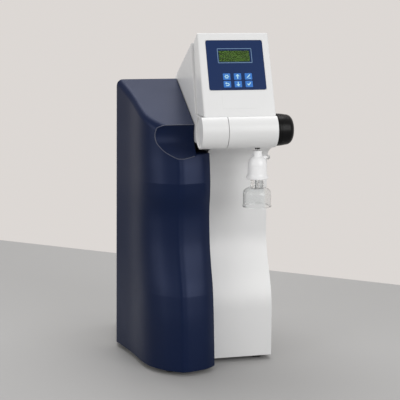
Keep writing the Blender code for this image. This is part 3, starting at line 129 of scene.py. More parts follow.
# Shader maths: Wire wraps a socket, and the operators on it add Math nodes
def maths(operation, swapped=False):
    def join(wire, other):
        first, second = (other, wire) if swapped else (wire, other)
        return wire.finish.node("ShaderNodeMath", {"operation": operation}, {0: first, 1: second})
    return join


class Wire:
    def __init__(self, finish, socket):
        self.finish = finish
        self.socket = socket

    __add__ = __radd__ = maths("ADD")
    __mul__ = __rmul__ = maths("MULTIPLY")
    __sub__, __rsub__ = maths("SUBTRACT"), maths("SUBTRACT", True)
    __truediv__, __rtruediv__ = maths("DIVIDE"), maths("DIVIDE", True)
    __lt__, __gt__ = maths("LESS_THAN"), maths("GREATER_THAN")


finishes = {}


class Finish:
    def __init__(self, name, color, settings=None):
        self.material = bpy.data.materials.new(name)
        self.material.use_nodes = True
        self.material.diffuse_color = (*color, 1)
        self.tree = self.material.node_tree
        self.shader = self.tree.nodes["Principled BSDF"]
        for socket, value in {"Base Color": (*color, 1), **(settings or {})}.items():
            self.set(socket, value)
        self.place = self.node("ShaderNodeTexCoord", output="Object")
        finishes[name] = self.material

    def feed(self, socket, value):
        if isinstance(value, Wire):
            self.tree.links.new(value.socket, socket)
        else:
            socket.default_value = value

    def set(self, name, value):
        self.feed(self.shader.inputs[name], value)

    def node(self, kind, settings=None, inputs=None, output=0):
        made = self.tree.nodes.new(kind)
        for name, value in (settings or {}).items():
            setattr(made, name, value)
        for name, value in (inputs or {}).items():
            self.feed(made.inputs[name], value)
        return Wire(self, made.outputs[output])

    def noise(self, scale, detail=2.0, roughness=0.5, stretch=None):
        place = self.place
        if stretch:
            place = self.node("ShaderNodeMapping", {}, {"Vector": place, "Scale": stretch})
        return self.node("ShaderNodeTexNoise", {}, {
            "Vector": place, "Scale": scale, "Detail": detail, "Roughness": roughness})

    def ramp(self, value, low, high, first=0.0, last=1.0):
        return self.node("ShaderNodeMapRange", {"clamp": True}, {
            "Value": value, "From Min": low, "From Max": high, "To Min": first, "To Max": last})

    def patches(self, scale, detail, roughness, low, high):
        return self.ramp(self.noise(scale, detail, roughness), low, high)

    def blend(self, share, first, last):
        ends = [(*end, 1) if isinstance(end, tuple) else end for end in (first, last)]
        return self.node("ShaderNodeMix", {"data_type": "RGBA"}, {0: share, 6: ends[0], 7: ends[1]}, 2)

    def bump(self, height, depth):
        self.set("Normal", self.node("ShaderNodeBump", {}, {"Height": height, "Distance": depth}))

    def cells(self, axis, size):
        along = self.node("ShaderNodeSeparateXYZ", {}, {0: self.place}, axis)
        return self.node("ShaderNodeMath", {"operation": "FRACT"}, {0: along / size})


plastics = {
    # name: colour, cloud colour, roughness, grain scale, grain depth, other sockets
    "housingWhite": ((0.79, 0.79, 0.785), (0.765, 0.765, 0.765), 0.36, 1500, 0.00002,
        {"Coat Weight": 0.12, "Coat Roughness": 0.25}),
    # headGrey is the housing white made a little darker: painted shade on the head's rear shell, which is
    # the same white plastic; the barrel's end cap shares it
    "headGrey": ((0.76, 0.76, 0.76), (0.735, 0.735, 0.738), 0.38, 1500, 0.00002,
        {"Coat Weight": 0.1, "Coat Roughness": 0.25}),
    "doorNavy": ((0.0016, 0.0075, 0.034), (0.0013, 0.0065, 0.03), 0.37, 1700, 0.000012,
        {"Specular IOR Level": 0.3, "Specular Tint": (0.54, 0.62, 0.94, 1)}),
    # the rim bead's navy is made lighter than the door: a painted highlight along the scoop's edge
    "doorEdge": ((0.075, 0.085, 0.125), (0.06, 0.07, 0.11), 0.3, 1700, 0.000004),
    "chassisGrey": ((0.56, 0.56, 0.55), (0.52, 0.52, 0.515), 0.5, 900, 0.00003),
    "knobBlack": ((0.0035, 0.0035, 0.004), (0.005, 0.005, 0.0055), 0.3, 1300, 0.00003,
        {"Specular IOR Level": 0.13}),
    "valveBlack": ((0.02, 0.02, 0.021), (0.026, 0.026, 0.027), 0.5, 900, 0.00003),
    "filterWhite": ((0.93, 0.93, 0.935), (0.9, 0.9, 0.905), 0.32, 1200, 0.00001),
    "cartridgeWhite": ((0.78, 0.78, 0.76), (0.74, 0.74, 0.72), 0.42, 700, 0.00003),
    "fittingGrey": ((0.42, 0.42, 0.42), (0.38, 0.38, 0.385), 0.42, 900, 0.00003),
    "inletBlack": ((0.016, 0.016, 0.017), (0.021, 0.021, 0.022), 0.42, 1100, 0.00003),
    "rockerBlack": ((0.013, 0.013, 0.014), (0.017, 0.017, 0.018), 0.24, 1100, 0.00001),
    "overlayBlue": ((0.006, 0.025, 0.1), (0.005, 0.022, 0.09), 0.34, 2600, 0.000008,
        {"Specular IOR Level": 0.2}),
    "keyBlue": ((0.035, 0.19, 0.6), (0.03, 0.17, 0.55), 0.3, 2200, 0.000008, {"Specular IOR Level": 0.4}),
    "glyphPale": ((0.45, 0.74, 0.86), (0.42, 0.71, 0.84), 0.35, 1500, 0.000005),
    "linePale": ((0.2, 0.33, 0.5), (0.18, 0.31, 0.47), 0.35, 1500, 0.000005),
}

plasticLook = {
    # patches: scale, detail, roughness, low, high
    "cloud": (9, 3.0, 0.55, 0.3, 0.7), "cloudRough": 0.06,
    "worn": (38, 4.0, 0.65, 0.55, 0.8), "wornRough": 0.04, "grain": (2.0, 0.6),
}


# Moulded plastic: fine grain, a cloudy sheen and faint rubbing
def mouldedPlastic(name, color, shade, rough, grain, depth, settings=None):
    look = plasticLook
    finish = Finish(name, color, settings)
    share, worn = finish.patches(*look["cloud"]), finish.patches(*look["worn"])
    finish.set("Base Color", finish.blend(share, color, shade))
    finish.set("Roughness", rough + look["cloudRough"] * (share - 0.5) + look["wornRough"] * worn)
    finish.bump(finish.noise(grain, *look["grain"]), depth)


rubberLook = {
    "color": (0.016, 0.016, 0.016), "dustColor": (0.045, 0.044, 0.042), "rough": 0.78, "dustRough": 0.12,
    "dust": (60, 4.0, 0.7, 0.5, 0.75), "grain": 1400, "depth": 0.00005,
}


def rubber():
    look = rubberLook
    finish = Finish("footRubber", look["color"])
    dust = finish.patches(*look["dust"])
    finish.set("Base Color", finish.blend(dust, look["color"], look["dustColor"]))
    finish.set("Roughness", look["rough"] + look["dustRough"] * dust)
    finish.bump(finish.noise(look["grain"]), look["depth"])


metals = {
    # name: colour, roughness, how the streaks are stretched
    "steel": ((0.56, 0.56, 0.57), 0.24, (1, 1, 60)),
    "moduleMetal": ((0.5, 0.5, 0.51), 0.3, (60, 60, 1)),
}

metalLook = {
    "streak": (260, 3.0, 0.6), "span": (0.3, 0.7), "darker": 0.88, "rough": 0.12, "depth": 0.000006,
}


def brushedMetal(name, color, rough, stretch):
    look = metalLook
    finish = Finish(name, color, {"Metallic": 1.0})
    streak = finish.noise(*look["streak"], stretch)
    share = finish.ramp(streak, *look["span"])
    finish.set("Base Color", finish.blend(share, color, tuple(part * look["darker"] for part in color)))
    finish.set("Roughness", rough + look["rough"] * share)
    finish.bump(streak, look["depth"])


clears = {
    # name: colour, roughness, refraction, haze
    "clearPlastic": ((0.95, 0.96, 0.96), 0.1, 1.42, 0.08),
    "frostedPlastic": ((0.92, 0.93, 0.93), 0.42, 1.42, 0.08),
    "displayClear": ((0.84, 0.9, 0.82), 0.05, 1.2, 0.012),
}

clearLook = {"cloud": (45, 3.0, 0.6, 0.45, 0.75), "wave": (90, 2.0, 0.5), "depth": 0.0007}


def clearPlastic(name, color, rough, bend, haze):
    look = clearLook
    finish = Finish(name, color, {"Transmission Weight": 1.0, "IOR": bend})
    finish.set("Roughness", rough + haze * finish.patches(*look["cloud"]))
    finish.bump(finish.noise(*look["wave"]), haze * look["depth"])


displayLook = {
    "color": (0.05, 0.108, 0.012), "cloudColor": (0.064, 0.13, 0.016), "gapColor": (0.07, 0.138, 0.018),
    "specular": 0.2, "cloud": (22, 2.0, 0.5, 0.35, 0.7), "cell": (0.0033, 0.0085),
    "gap": (0.16, 0.12), "gapShare": 0.3, "rough": 0.42, "cloudRough": 0.1,
}


# The panel behind the lens: olive green with a faint grid of character cells
def displayPanel():
    look = displayLook
    finish = Finish("displayGreen", look["color"], {"Specular IOR Level": look["specular"]})
    (wide, tall), (gapAcross, gapUp) = look["cell"], look["gap"]
    gap = (finish.cells("X", wide) < gapAcross) + (finish.cells("Z", tall) < gapUp)
    cloud = finish.patches(*look["cloud"])
    tone = finish.blend(cloud, look["color"], look["cloudColor"])
    share = finish.ramp(gap, 0.0, 1.0, 0.0, look["gapShare"])
    finish.set("Base Color", finish.blend(share, tone, look["gapColor"]))
    finish.set("Roughness", look["rough"] + look["cloudRough"] * cloud)


boardLook = {
    "color": (0.012, 0.1, 0.035), "settings": {"Coat Weight": 0.3, "Coat Roughness": 0.2},
    "cells": {"Scale": 90.0, "Mortar Size": 0.06, "Color1": (0.01, 0.085, 0.03, 1),
              "Color2": (0.014, 0.11, 0.04, 1), "Mortar": (0.03, 0.2, 0.08, 1)},
    "grain": (300, 2.0, 0.5, 0.4, 0.7), "rough": 0.35, "grainRough": 0.15,
}


# Solder resist with a grid of tracks and pads
def circuitBoard():
    look = boardLook
    finish = Finish("boardGreen", look["color"], look["settings"])
    cells = finish.node("ShaderNodeTexBrick", {"offset": 0.5}, {"Vector": finish.place, **look["cells"]})
    finish.set("Base Color", cells)
    finish.set("Roughness", look["rough"] + look["grainRough"] * finish.patches(*look["grain"]))


def makeFinishes():
    for make, table in ((mouldedPlastic, plastics), (brushedMetal, metals), (clearPlastic, clears)):
        for name, values in table.items():
            make(name, *values)
    rubber()
    displayPanel()
    circuitBoard()


# Tools of the bench: each one is a few edit-mode steps
tools = {"edgeAngle": radians(40), "flatAngle": radians(0.2), "merge": 0.00001, "normalWeight": 60,
         "straight": 1e-6}


def deselectAll():
    bpy.ops.object.select_all(action="DESELECT")


def pick(piece, *others):
    deselectAll()
    for each in (piece, *others):
        each.select_set(True)
    bpy.context.view_layer.objects.active = piece


def named(name):
    piece = bpy.context.active_object
    piece.name = name
    piece.data.name = name
    return piece


def openEdit(piece):
    pick(piece)
    bpy.ops.object.mode_set(mode="EDIT")
    bpy.ops.mesh.select_all(action="SELECT")


def closeEdit():
    bpy.ops.mesh.select_all(action="SELECT")
    bpy.ops.mesh.normals_make_consistent(inside=False)
    bpy.ops.mesh.select_all(action="DESELECT")
    bpy.ops.object.mode_set(mode="OBJECT")


# Closes the open rims of a shape in edit mode: one to the other, or each with a face
def closeRims(ends):
    bpy.ops.mesh.select_all(action="DESELECT")
    bpy.ops.mesh.select_mode(type="EDGE")
    bpy.ops.mesh.select_non_manifold(use_wire=False, use_multi_face=False,
                                     use_non_contiguous=False, use_verts=False)
    if ends == "ring":
        bpy.ops.mesh.bridge_edge_loops()
    else:
        bpy.ops.mesh.fill_holes(sides=0)
    bpy.ops.mesh.select_mode(type="VERT")


def placeVertices(piece, places):
    for vertex, place in zip(piece.data.vertices, places):
        vertex.co = place


def applyPlace(piece):
    pick(piece)
    bpy.ops.object.transform_apply(location=True, rotation=True, scale=True)
    return piece


def modify(piece, kind, **settings):
    pick(piece)
    modifier = piece.modifiers.new(kind.lower(), kind)
    for name, value in settings.items():
        setattr(modifier, name, value)
    bpy.ops.object.modifier_apply(modifier=modifier.name)


def roundEdges(piece, width, segments=3, angle=tools["edgeAngle"], clamp=True):
    modify(piece, "BEVEL", width=width, segments=segments, limit_method="ANGLE",
           angle_limit=angle, use_clamp_overlap=clamp)


def combine(piece, others, operation):
    for other in others:
        modify(piece, "BOOLEAN", object=other, operation=operation, solver="EXACT")
        bpy.data.objects.remove(other)


def carve(piece, *cutters):
    combine(piece, cutters, "DIFFERENCE")


def weld(piece, *others):
    combine(piece, others, "UNION")


def joined(name, *parts):
    pick(*parts)
    if len(parts) > 1:
        bpy.ops.object.join()
    parts[0].name = name
    return parts[0]


# Turns (radius, height) points about Z: a ring is drawn out upwards and resized at each point
def lathe(name, profile, steps=96, ends="fill"):
    deselectAll()
    radius, height = profile[0]
    bpy.ops.mesh.primitive_circle_add(vertices=steps, radius=radius, location=(0, 0, height))
    piece = named(name)
    openEdit(piece)
    for nextRadius, nextHeight in profile[1:]:
        bpy.ops.mesh.extrude_region_move(
            TRANSFORM_OT_translate={"value": (0, 0, nextHeight - height)})
        share = nextRadius / radius
        bpy.ops.transform.resize(value=(share, share, 1), center_override=(0, 0, nextHeight))
        radius, height = nextRadius, nextHeight
    closeRims(ends)
    closeEdit()
    return applyPlace(piece)


# Points of a circle or ellipse from one angle to another, in degrees
def arc(centre, reach, first, last, steps=8):
    points = []
    for i in range(steps + 1):
        angle = radians(first + (last - first) * i / steps)
        points.append((centre[0] + reach[0] * cos(angle), centre[1] + reach[1] * sin(angle)))
    return points


# Small details of a profile are listed as steps from a corner
def stepped(corner, steps):
    return [(corner[0] + out, corner[1] + up) for out, up in steps]


# A flat outline of points, drawn out along a direction
def prism(name, outline, reach):
    deselectAll()
    bpy.ops.mesh.primitive_circle_add(vertices=len(outline), fill_type="NGON")
    piece = named(name)
    placeVertices(piece, outline)
    openEdit(piece)
    bpy.ops.mesh.extrude_region_move(TRANSFORM_OT_translate={"value": reach})
    closeEdit()
    return piece


def block(name, low, high):
    low, high = Vector(low), Vector(high)
    deselectAll()
    bpy.ops.mesh.primitive_cube_add(size=1, location=(low + high) / 2)
    piece = named(name)
    piece.scale = high - low
    return applyPlace(piece)


# Turns a finished shape and moves it, and leaves its object at the origin
def turn(piece, place=(0, 0, 0), angles=(0, 0, 0)):
    piece.rotation_euler = angles
    piece.location = place
    return applyPlace(piece)


def copied(piece, name):
    twin = piece.copy()
    twin.data = piece.data.copy()
    twin.name = name
    bpy.context.scene.collection.objects.link(twin)
    return twin


# Shading, finish, the machine's place and the body that carries the piece
def settle(piece, body, finish, replaced=(), angle=35, local=True):
    if local:
        turn(piece, machinePlace)
    pick(piece)
    bpy.ops.object.shade_smooth_by_angle(angle=radians(angle))
    modify(piece, "WEIGHTED_NORMAL", keep_sharp=True, weight=tools["normalWeight"])
    piece.data.materials.clear()
    piece.data.materials.append(finishes[finish])
    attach(piece, body)
    if replaced:
        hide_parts(*replaced)


# A copy of a CAD node, merged into a clean mesh, with its round stretches smooth
def carried(name, node, finish, angle=35):
    piece = copied(nodes[node], name)
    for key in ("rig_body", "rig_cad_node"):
        if key in piece:
            del piece[key]
    piece.parent = None
    piece.hide_render = False
    openEdit(piece)
    bpy.ops.mesh.remove_doubles(threshold=tools["merge"])
    bpy.ops.mesh.dissolve_limited(angle_limit=tools["flatAngle"])
    bpy.ops.object.mode_set(mode="OBJECT")
    if piece.data.has_custom_normals:
        bpy.ops.mesh.customdata_custom_splitnormals_clear()
    settle(piece, bodyOf[node], finish, (node,), angle=angle, local=False)


# A sheet wrapped round a stack of outlines, welded along its side and capped
def wrapped(name, rows):
    deselectAll()
    bpy.ops.mesh.primitive_grid_add(x_subdivisions=len(rows[0]), y_subdivisions=len(rows) - 1, size=1)
    piece = named(name)
    placeVertices(piece, [place for row in rows for place in row + [row[0]]])
    openEdit(piece)
    bpy.ops.mesh.remove_doubles(threshold=tools["merge"])
    closeRims("fill")
    closeEdit()
    return piece


# A smooth line through points of two numbers, with the ends kept
def flowing(points, steps):
    line = []
    ends = [points[0]] + list(points) + [points[-1]]
    for before, start, end, after in zip(ends, ends[1:], ends[2:], ends[3:]):
        for i in range(steps):
            t = i / steps
            spot = []
            for a, b, c, d in zip(before, start, end, after):
                bend = (2 * a - 5 * b + 4 * c - d) * t * t + (3 * b - a - 3 * c + d) * t * t * t
                spot.append((2 * b + (c - a) * t + bend) / 2)
            line.append(tuple(spot))
    return line + [tuple(points[-1])]


def reading(table, share):
    for (low, first), (high, last) in zip(table, table[1:]):
        if share <= high:
            return first + (last - first) * max(share - low, 0) / (high - low)
    return table[-1][1]


# Moves each edge of a flat outline inwards by its own amount
def inset(points, amounts):
    lines = []
    for i, start in enumerate(points):
        start = Vector(start)
        along = (Vector(points[(i + 1) % len(points)]) - start).normalized()
        lines.append((start + Vector((-along.y, along.x)) * amounts[i], along))
    moved = []
    for i, (start, along) in enumerate(lines):
        before, lastAlong = lines[i - 1]
        bend = lastAlong.x * along.y - lastAlong.y * along.x
        offset = start - before
        if abs(bend) < tools["straight"]:
            moved.append(tuple(start))
            continue
        reach = (offset.x * along.y - offset.y * along.x) / bend
        moved.append(tuple(before + lastAlong * reach))
    return moved


# Cartridge door: a cover that swells at the foot, narrows to a waist and slopes down to the front
doorForm = {
    "left": -0.172, "right": -0.011, "back": 0.138, "depth": 0.201, "low": 0.008,
    "frontTop": 0.453, "backTop": 0.529, "slopeFront": 0.0095, "draft": 0.0085, "flatTop": 0.36,
    "topRound": 0.011, "underRound": 1.4, "wall": 0.003, "shortEdge": 0.0004, "slopePasses": 6,
    "plan": [(0.0, 0.0), (0.118, 0.313), (0.224, 0.687), (0.373, 0.876), (0.565, 0.985),
             (0.634, 1.0), (0.72, 0.992), (0.894, 0.945), (1.0, 0.876)],
    "swell": [[(0.0, 1.0), (0.157, 0.965), (0.228, 0.938), (0.263, 0.922)],
              [(0.263, 0.922), (0.298, 0.892), (0.365, 0.813), (0.434, 0.756), (0.524, 0.733),
               (0.57, 0.745), (0.603, 0.77), (0.653, 0.782)],
              [(0.653, 0.782), (0.704, 0.76), (0.756, 0.733), (0.85, 0.722), (1.0, 0.71)]],
    # steps of plan and swell; rows of the flat stretch, the blend and the rounded top
    "fineSteps": (7, 8), "fineRows": (44, 14, 8), "roughSteps": (3, 4), "roughRows": (20, 6, 4),
    "past": 0.004, "notchLeft": -0.0385, "notchRight": 0.1, "notchLow": 0.4, "returnDepth": 0.052,
    "returnGap": 0.0003, "flare": 0.065, "headMiddle": 0.029,
    "scoop": [(0.0095, 0.453), (0.0125, 0.444), (0.0135, 0.433), (0.0115, 0.4225), (0.0069, 0.4142),
              (0.0017, 0.406), (-0.0045, 0.3988), (-0.01, 0.3935), (-0.0135, 0.391)],
    "scoopSteps": 4, "scoopPast": 0.01, "scoopReach": 0.18,
    "rimMerge": 0.0012, "rimDissolve": 0.0001, "rimRound": 0.001, "rimAngle": radians(36),
    "creaseNear": 0.0003,
    # the bead starts at the head, goes down the left side and comes back along the foot
    "rimBead": 0.0008, "rimStep": 0.004, "rimSteps": 15, "rimTop": 0.4505, "rimSide": 0.64,
    "rimFront": 0.985, "rimFoot": 0.58, "footStep": 0.02, "rimOrder": 4, "rimSmooth": 3,
    "hingeFront": -0.043, "hingeHeight": 0.022, "hingeTurn": radians(12),
    "armLefts": (-0.09, -0.0615), "armWidth": 0.0075, "armRound": 0.0004,
    "knuckle": 0.0038, "knuckleRound": 0.0003, "pin": 0.0023, "pinReach": (-0.02, 0.03),
}


class DoorShape:
    def __init__(self, form, planSteps, swellSteps):
        self.form = form
        self.plan = flowing(form["plan"], planSteps)
        self.swell = []
        for stretch in form["swell"]:
            self.swell += flowing(stretch, swellSteps)[:-1]
        self.swell.append(form["swell"][-1][-1])
        tall = form["backTop"] - form["low"]
        self.creases = [form["low"] + tall * stretch[0][0] for stretch in form["swell"][1:]]

    def top(self, y):
        form = self.form
        share = (y - form["slopeFront"]) / (form["back"] - form["slopeFront"])
        return form["frontTop"] + (form["backTop"] - form["frontTop"]) * share

    def share(self, z):
        return (z - self.form["low"]) / (self.form["backTop"] - self.form["low"])

    def depth(self, z):
        return self.form["depth"] * reading(self.swell, self.share(z))

    def side(self, across, z):
        form = self.form
        width = form["right"] - form["left"] - form["draft"] * self.share(z)
        return form["right"] - width * (1 - across)

    # A row at a flat height, part of the way to the slope, or some way below it
    def row(self, flat, rise, below, frontInset, wall, past):
        form = self.form

        def height(y):
            return flat + rise * (self.top(y) - below - flat)

        outline = []
        for across, backShare in self.plan:
            z = flat
            for _ in range(form["slopePasses"]):
                x, y = self.side(across, z), form["back"] - self.depth(z) * backShare
                z = height(y)
            outline.append((x, y))
        outline.append((form["right"], form["back"]))
        moved = inset(outline, [frontInset] * (len(outline) - 2) + [wall, -past])
        for i in (1, 2):   # next to the back corner a short edge would turn round
            if moved[i][1] > moved[0][1] - form["shortEdge"]:
                moved[i] = moved[0]
        return [(x, y, height(y)) for x, y in moved]

    def rows(self, wall, past, flats, blends, rounds):
        form = self.form
        bottom = form["low"] - past
        heights = [bottom + (form["flatTop"] - bottom) * i / flats for i in range(flats + 1)]
        for crease in self.creases:
            heights[min(range(1, flats), key=lambda i: abs(heights[i] - crease))] = crease
        stack = [self.row(height, 0, 0, wall, wall, past) for height in heights]
        radius, under = form["topRound"] - wall, wall * form["underRound"]
        for i in range(1, blends + 1):
            stack.append(self.row(form["flatTop"], i / blends, radius + under, wall, wall, past))
        for i in range(1, rounds + 1):
            bend = pi / 2 * i / rounds
            stack.append(self.row(form["flatTop"], 1, under + radius * (1 - sin(bend)),
                                  wall + radius * (1 - cos(bend)), wall, past))
        return stack


def flaredTool(form, low, high):
    tool = block("flaredTool", low, high)
    for vertex in tool.data.vertices:
        spread = vertex.co.y * form["flare"]
        vertex.co.x += spread if vertex.co.x > form["headMiddle"] else -spread
    return tool


# Room for the head and the scoop before it, larger by the wall for the hollow inside
def notchTools(form, wall):
    front, past = form["back"] - form["depth"], form["past"]
    notch = flaredTool(form, (form["notchLeft"] - wall, front, form["notchLow"] - wall),
                       (form["notchRight"], form["back"] + 2 * past, form["backTop"] + past))
    line = form["scoop"]
    outline = [(line[0][0] + wall, form["backTop"])]
    outline += [(y + wall, z - wall) for y, z in flowing(line, form["scoopSteps"])]
    outline += [(front, line[-1][1] - wall), (front, form["backTop"])]
    left = form["left"] - form["scoopPast"]
    return notch, prism("scoopTool", [(left, y, z) for y, z in outline], (form["scoopReach"], 0, 0))


def makeDoor():
    form = doorForm
    shape = DoorShape(form, *form["fineSteps"])
    door = wrapped("cartridgeDoorCover", shape.rows(0, 0, *form["fineRows"]))
    carve(door, *notchTools(form, 0))
    openEdit(door)
    bpy.ops.mesh.remove_doubles(threshold=form["rimMerge"])
    bpy.ops.mesh.dissolve_degenerate(threshold=form["rimDissolve"])
    closeEdit()
    roundEdges(door, form["rimRound"], angle=form["rimAngle"], clamp=False)
    wall, past = form["wall"], form["past"]
    rough = DoorShape(form, *form["roughSteps"])
    hollow = wrapped("doorHollow", rough.rows(wall, past, *form["roughRows"]))
    carve(hollow, *notchTools(form, wall))
    left = form["notchLeft"] - form["returnGap"]
    opening = flaredTool(form, (left, form["returnDepth"], form["low"] - past),
                         (form["notchRight"], form["back"] + past, form["notchLow"] + past))
    carve(door, hollow, opening)
    for edge in door.data.edges:
        heights = [door.data.vertices[i].co.z for i in edge.vertices]
        for crease in shape.creases:
            if max(abs(z - crease) for z in heights) < form["creaseNear"]:
                edge.use_edge_sharp = True
    settle(door, "door", "doorNavy", ("cartridge_door",), angle=40)
    makeScoopRim(form, shape)
    makeHingeArms(form, shape)
    print("door cover:", len(door.data.polygons), "faces")


# A round bead runs along the D of edges round the scoop: slope, left side and foot. Its lighter navy is a
# painted highlight on the rim.
def makeScoopRim(form, shape):
    plan = [(back, side) for side, back in shape.plan if side <= form["rimSide"]]
    line = flowing(form["scoop"], form["scoopSteps"])
    end = form["notchLeft"] - form["rimBead"]
    path = [(end - form["rimStep"] * i, *line[0]) for i in range(form["rimSteps"])]

    def backShare(y, z):
        return (form["back"] - y) / shape.depth(z)

    for y, z in line:
        if z < form["rimTop"] and backShare(y, z) < form["rimFront"]:
            path.append((shape.side(reading(plan, backShare(y, z)), z), y, z))
    across = form["rimFoot"]
    while shape.side(across, form["notchLow"]) < end:
        front = reading(shape.plan, across)
        for first, last in zip(line, line[1:]):
            near, far = front - backShare(*first), front - backShare(*last)
            if near > 0 >= far:
                y, z = (a + (b - a) * near / (near - far) for a, b in zip(first, last))
                path.append((shape.side(across, z), y, z))
        across += form["footStep"]
    deselectAll()
    bpy.ops.curve.primitive_nurbs_path_add()
    bead = named("scoopRim")
    curve = bead.data
    curve.splines.clear()
    spline = curve.splines.new("NURBS")
    spline.points.add(len(path) - 1)
    for point, place in zip(spline.points, path):
        point.co = (*place, 1)
    spline.use_endpoint_u = True
    spline.order_u = form["rimOrder"]
    curve.resolution_u = form["rimSmooth"]
    curve.bevel_resolution = form["rimSmooth"]
    curve.bevel_depth = form["rimBead"]
    curve.use_fill_caps = True
    pick(bead)
    bpy.ops.object.convert(target="MESH")
    # the bead's lighter navy paints the highlight that the rim's rounded edge catches
    settle(bpy.context.active_object, "door", "doorEdge", angle=60)


# Two arms inside the cover carry the knuckles that turn on the hinge rod
def makeHingeArms(form, shape):
    middle = (sum(form["armLefts"]) + form["armWidth"]) / 2
    low = form["hingeHeight"] - form["knuckle"] / 3
    inner, outer, wide = form["pin"], form["knuckle"], form["armWidth"]
    arms = []
    for left in form["armLefts"]:
        axis, fronts = [], []
        for x in (left, left + wide):
            across = 1 - (form["right"] - x) / (form["right"] - form["left"])
            front = form["back"] - form["depth"] * reading(shape.plan, across) + form["wall"] / 2
            axis.append((x, form["hingeFront"] - (x - middle) * tan(form["hingeTurn"]), low))
            fronts.append((x, front, low))
        arm = prism("doorArm", [axis[0], *fronts, axis[1]], (0, 0, form["knuckle"] * 4 / 3))
        roundEdges(arm, form["armRound"], 2)
        knuckle = lathe("doorKnuckle", [(inner, 0), (outer, 0), (outer, wide), (inner, wide)], 48, "ring")
        roundEdges(knuckle, form["knuckleRound"], 2)
        pin = lathe("pinTool", [(inner, reach) for reach in form["pinReach"]], 48)
        for part in (knuckle, pin):
            turn(part, angles=(0, pi / 2, 0))
            turn(part, angles=(0, 0, -form["hingeTurn"]))
            turn(part, (left, axis[0][1], form["hingeHeight"]))
        weld(arm, knuckle)
        carve(arm, pin)
        arms.append(arm)
    settle(joined("doorHingeArms", *arms), "door", "doorNavy", ("cartridge_door",))


# Head: two carried shells with the seam between them, and a ledge beside them
headForm = {
    "left": -0.0375, "right": 0.0955, "proud": 0.0011, "deep": 0.004, "thick": 0.0024, "round": 0.0006,
    "seamLow": (0.0025, 0.4718), "seamHigh": (0.0337, 0.5974), "flare": 0.065, "smooth": 30,
    "ledge": (0.094, 0.10575, -0.0125, 0.1385, 0.4172, 0.419), "ledgeRound": 0.0003,
}


# The rear shell's front edge stands out as a lip on both sides
def makeSeamLips():
    form = headForm
    (lowY, lowZ), (highY, highZ), thick = form["seamLow"], form["seamHigh"], form["thick"]
    line = [(lowY, lowZ), (highY, highZ), (highY + thick, highZ), (lowY + thick, lowZ)]
    for name, side, way in (("Left", form["left"], -1), ("Right", form["right"], 1)):
        inner, outer = side - way * form["deep"], side + way * form["proud"]
        lip = prism("headSeamLip" + name, [(inner, y, z) for y, z in line], (outer - inner, 0, 0))
        for vertex in lip.data.vertices:
            vertex.co.x += way * vertex.co.y * form["flare"]
        roundEdges(lip, form["round"])
        settle(lip, "machine", "housingWhite")


# A flat ledge closes the top of the case beside the head, which is narrower than the column
def makeHeadLedge():
    left, right, front, back, low, high = headForm["ledge"]
    corners = ((left, front), (right, front), (right, back), (left, back))
    ledge = prism("headLedge", [(x, y, low) for x, y in corners], (0, 0, high - low))
    roundEdges(ledge, headForm["ledgeRound"], 2)
    settle(ledge, "machine", "housingWhite")


def makeHead():
    carried("headFrontShell", "head_front_shell", "housingWhite", headForm["smooth"])
    # the rear shell's slightly darker white is painted shade
    carried("headRearShell", "head_rear_shell", "headGrey", headForm["smooth"])
    makeSeamLips()
    makeHeadLedge()
    print("head: shells, seam lips and ledge")


# Control face: plates with round corners on a sloping plane; sides are left, right, low, high
faceForm = {
    "lean": radians(23.6), "footFront": -0.0626, "footHeight": 0.4715, "low": -0.0005, "high": 0.0005,
    "overlay": (-0.0225, 0.0815, 0.051, 0.145), "corner": 0.004, "overlayRound": 0.00015,
    "past": 0.003, "holeGap": 0.0003, "holeCorner": 0.0012,
    "window": (0.0, 0.056, 0.1045, 0.125), "lensCorner": 0.0009, "lensRound": 0.00012,
    # line: width, corner, inner corner, rise
    "line": (-0.0027, 0.0602, 0.1016, 0.1292), "lineMake": (0.0009, 0.0015, 0.0008, 0.00005),
    "key": (0.0135, 0.012), "firstKey": 0.0105, "pitch": (0.01985, 0.0142), "rowCentre": 0.0617,
    "keys": (("back", "down", "confirm"), ("measure", "up", "edit")),
    # key and label: corner, how deep it starts, how far it stands out, edge
    "keyMake": (0.0011, 0.0016, 0.0006, 0.0003), "labelMake": (0.001, 0.0001, 0.0002, 0.0001),
    "label": (-0.001, 0.061, 0.0165, 0.0435),
}


# From the face plane, across, up and out, to the machine's own frame
def onFace(piece):
    return turn(piece, (0, faceForm["footFront"], faceForm["footHeight"]),
                (pi / 2 - faceForm["lean"], 0, 0))


def grown(sides, amount):
    left, right, low, high = sides
    return left - amount, right + amount, low - amount, high + amount


def plate(name, sides, corner, bottom, top, steps):
    left, right, low, high = grown(sides, -corner)
    outline = []
    for i, centre in enumerate(((right, high), (left, high), (left, low), (right, low))):
        outline += arc(centre, (corner, corner), 90 * i, 90 * i + 90, steps)
    return prism(name, [(x, y, bottom) for x, y in outline], (0, 0, top - bottom))


def keyCentres():
    for row, names in enumerate(faceForm["keys"]):
        for column, name in enumerate(names):
            yield (name, faceForm["firstKey"] + column * faceForm["pitch"][0],
                   faceForm["rowCentre"] + row * faceForm["pitch"][1])


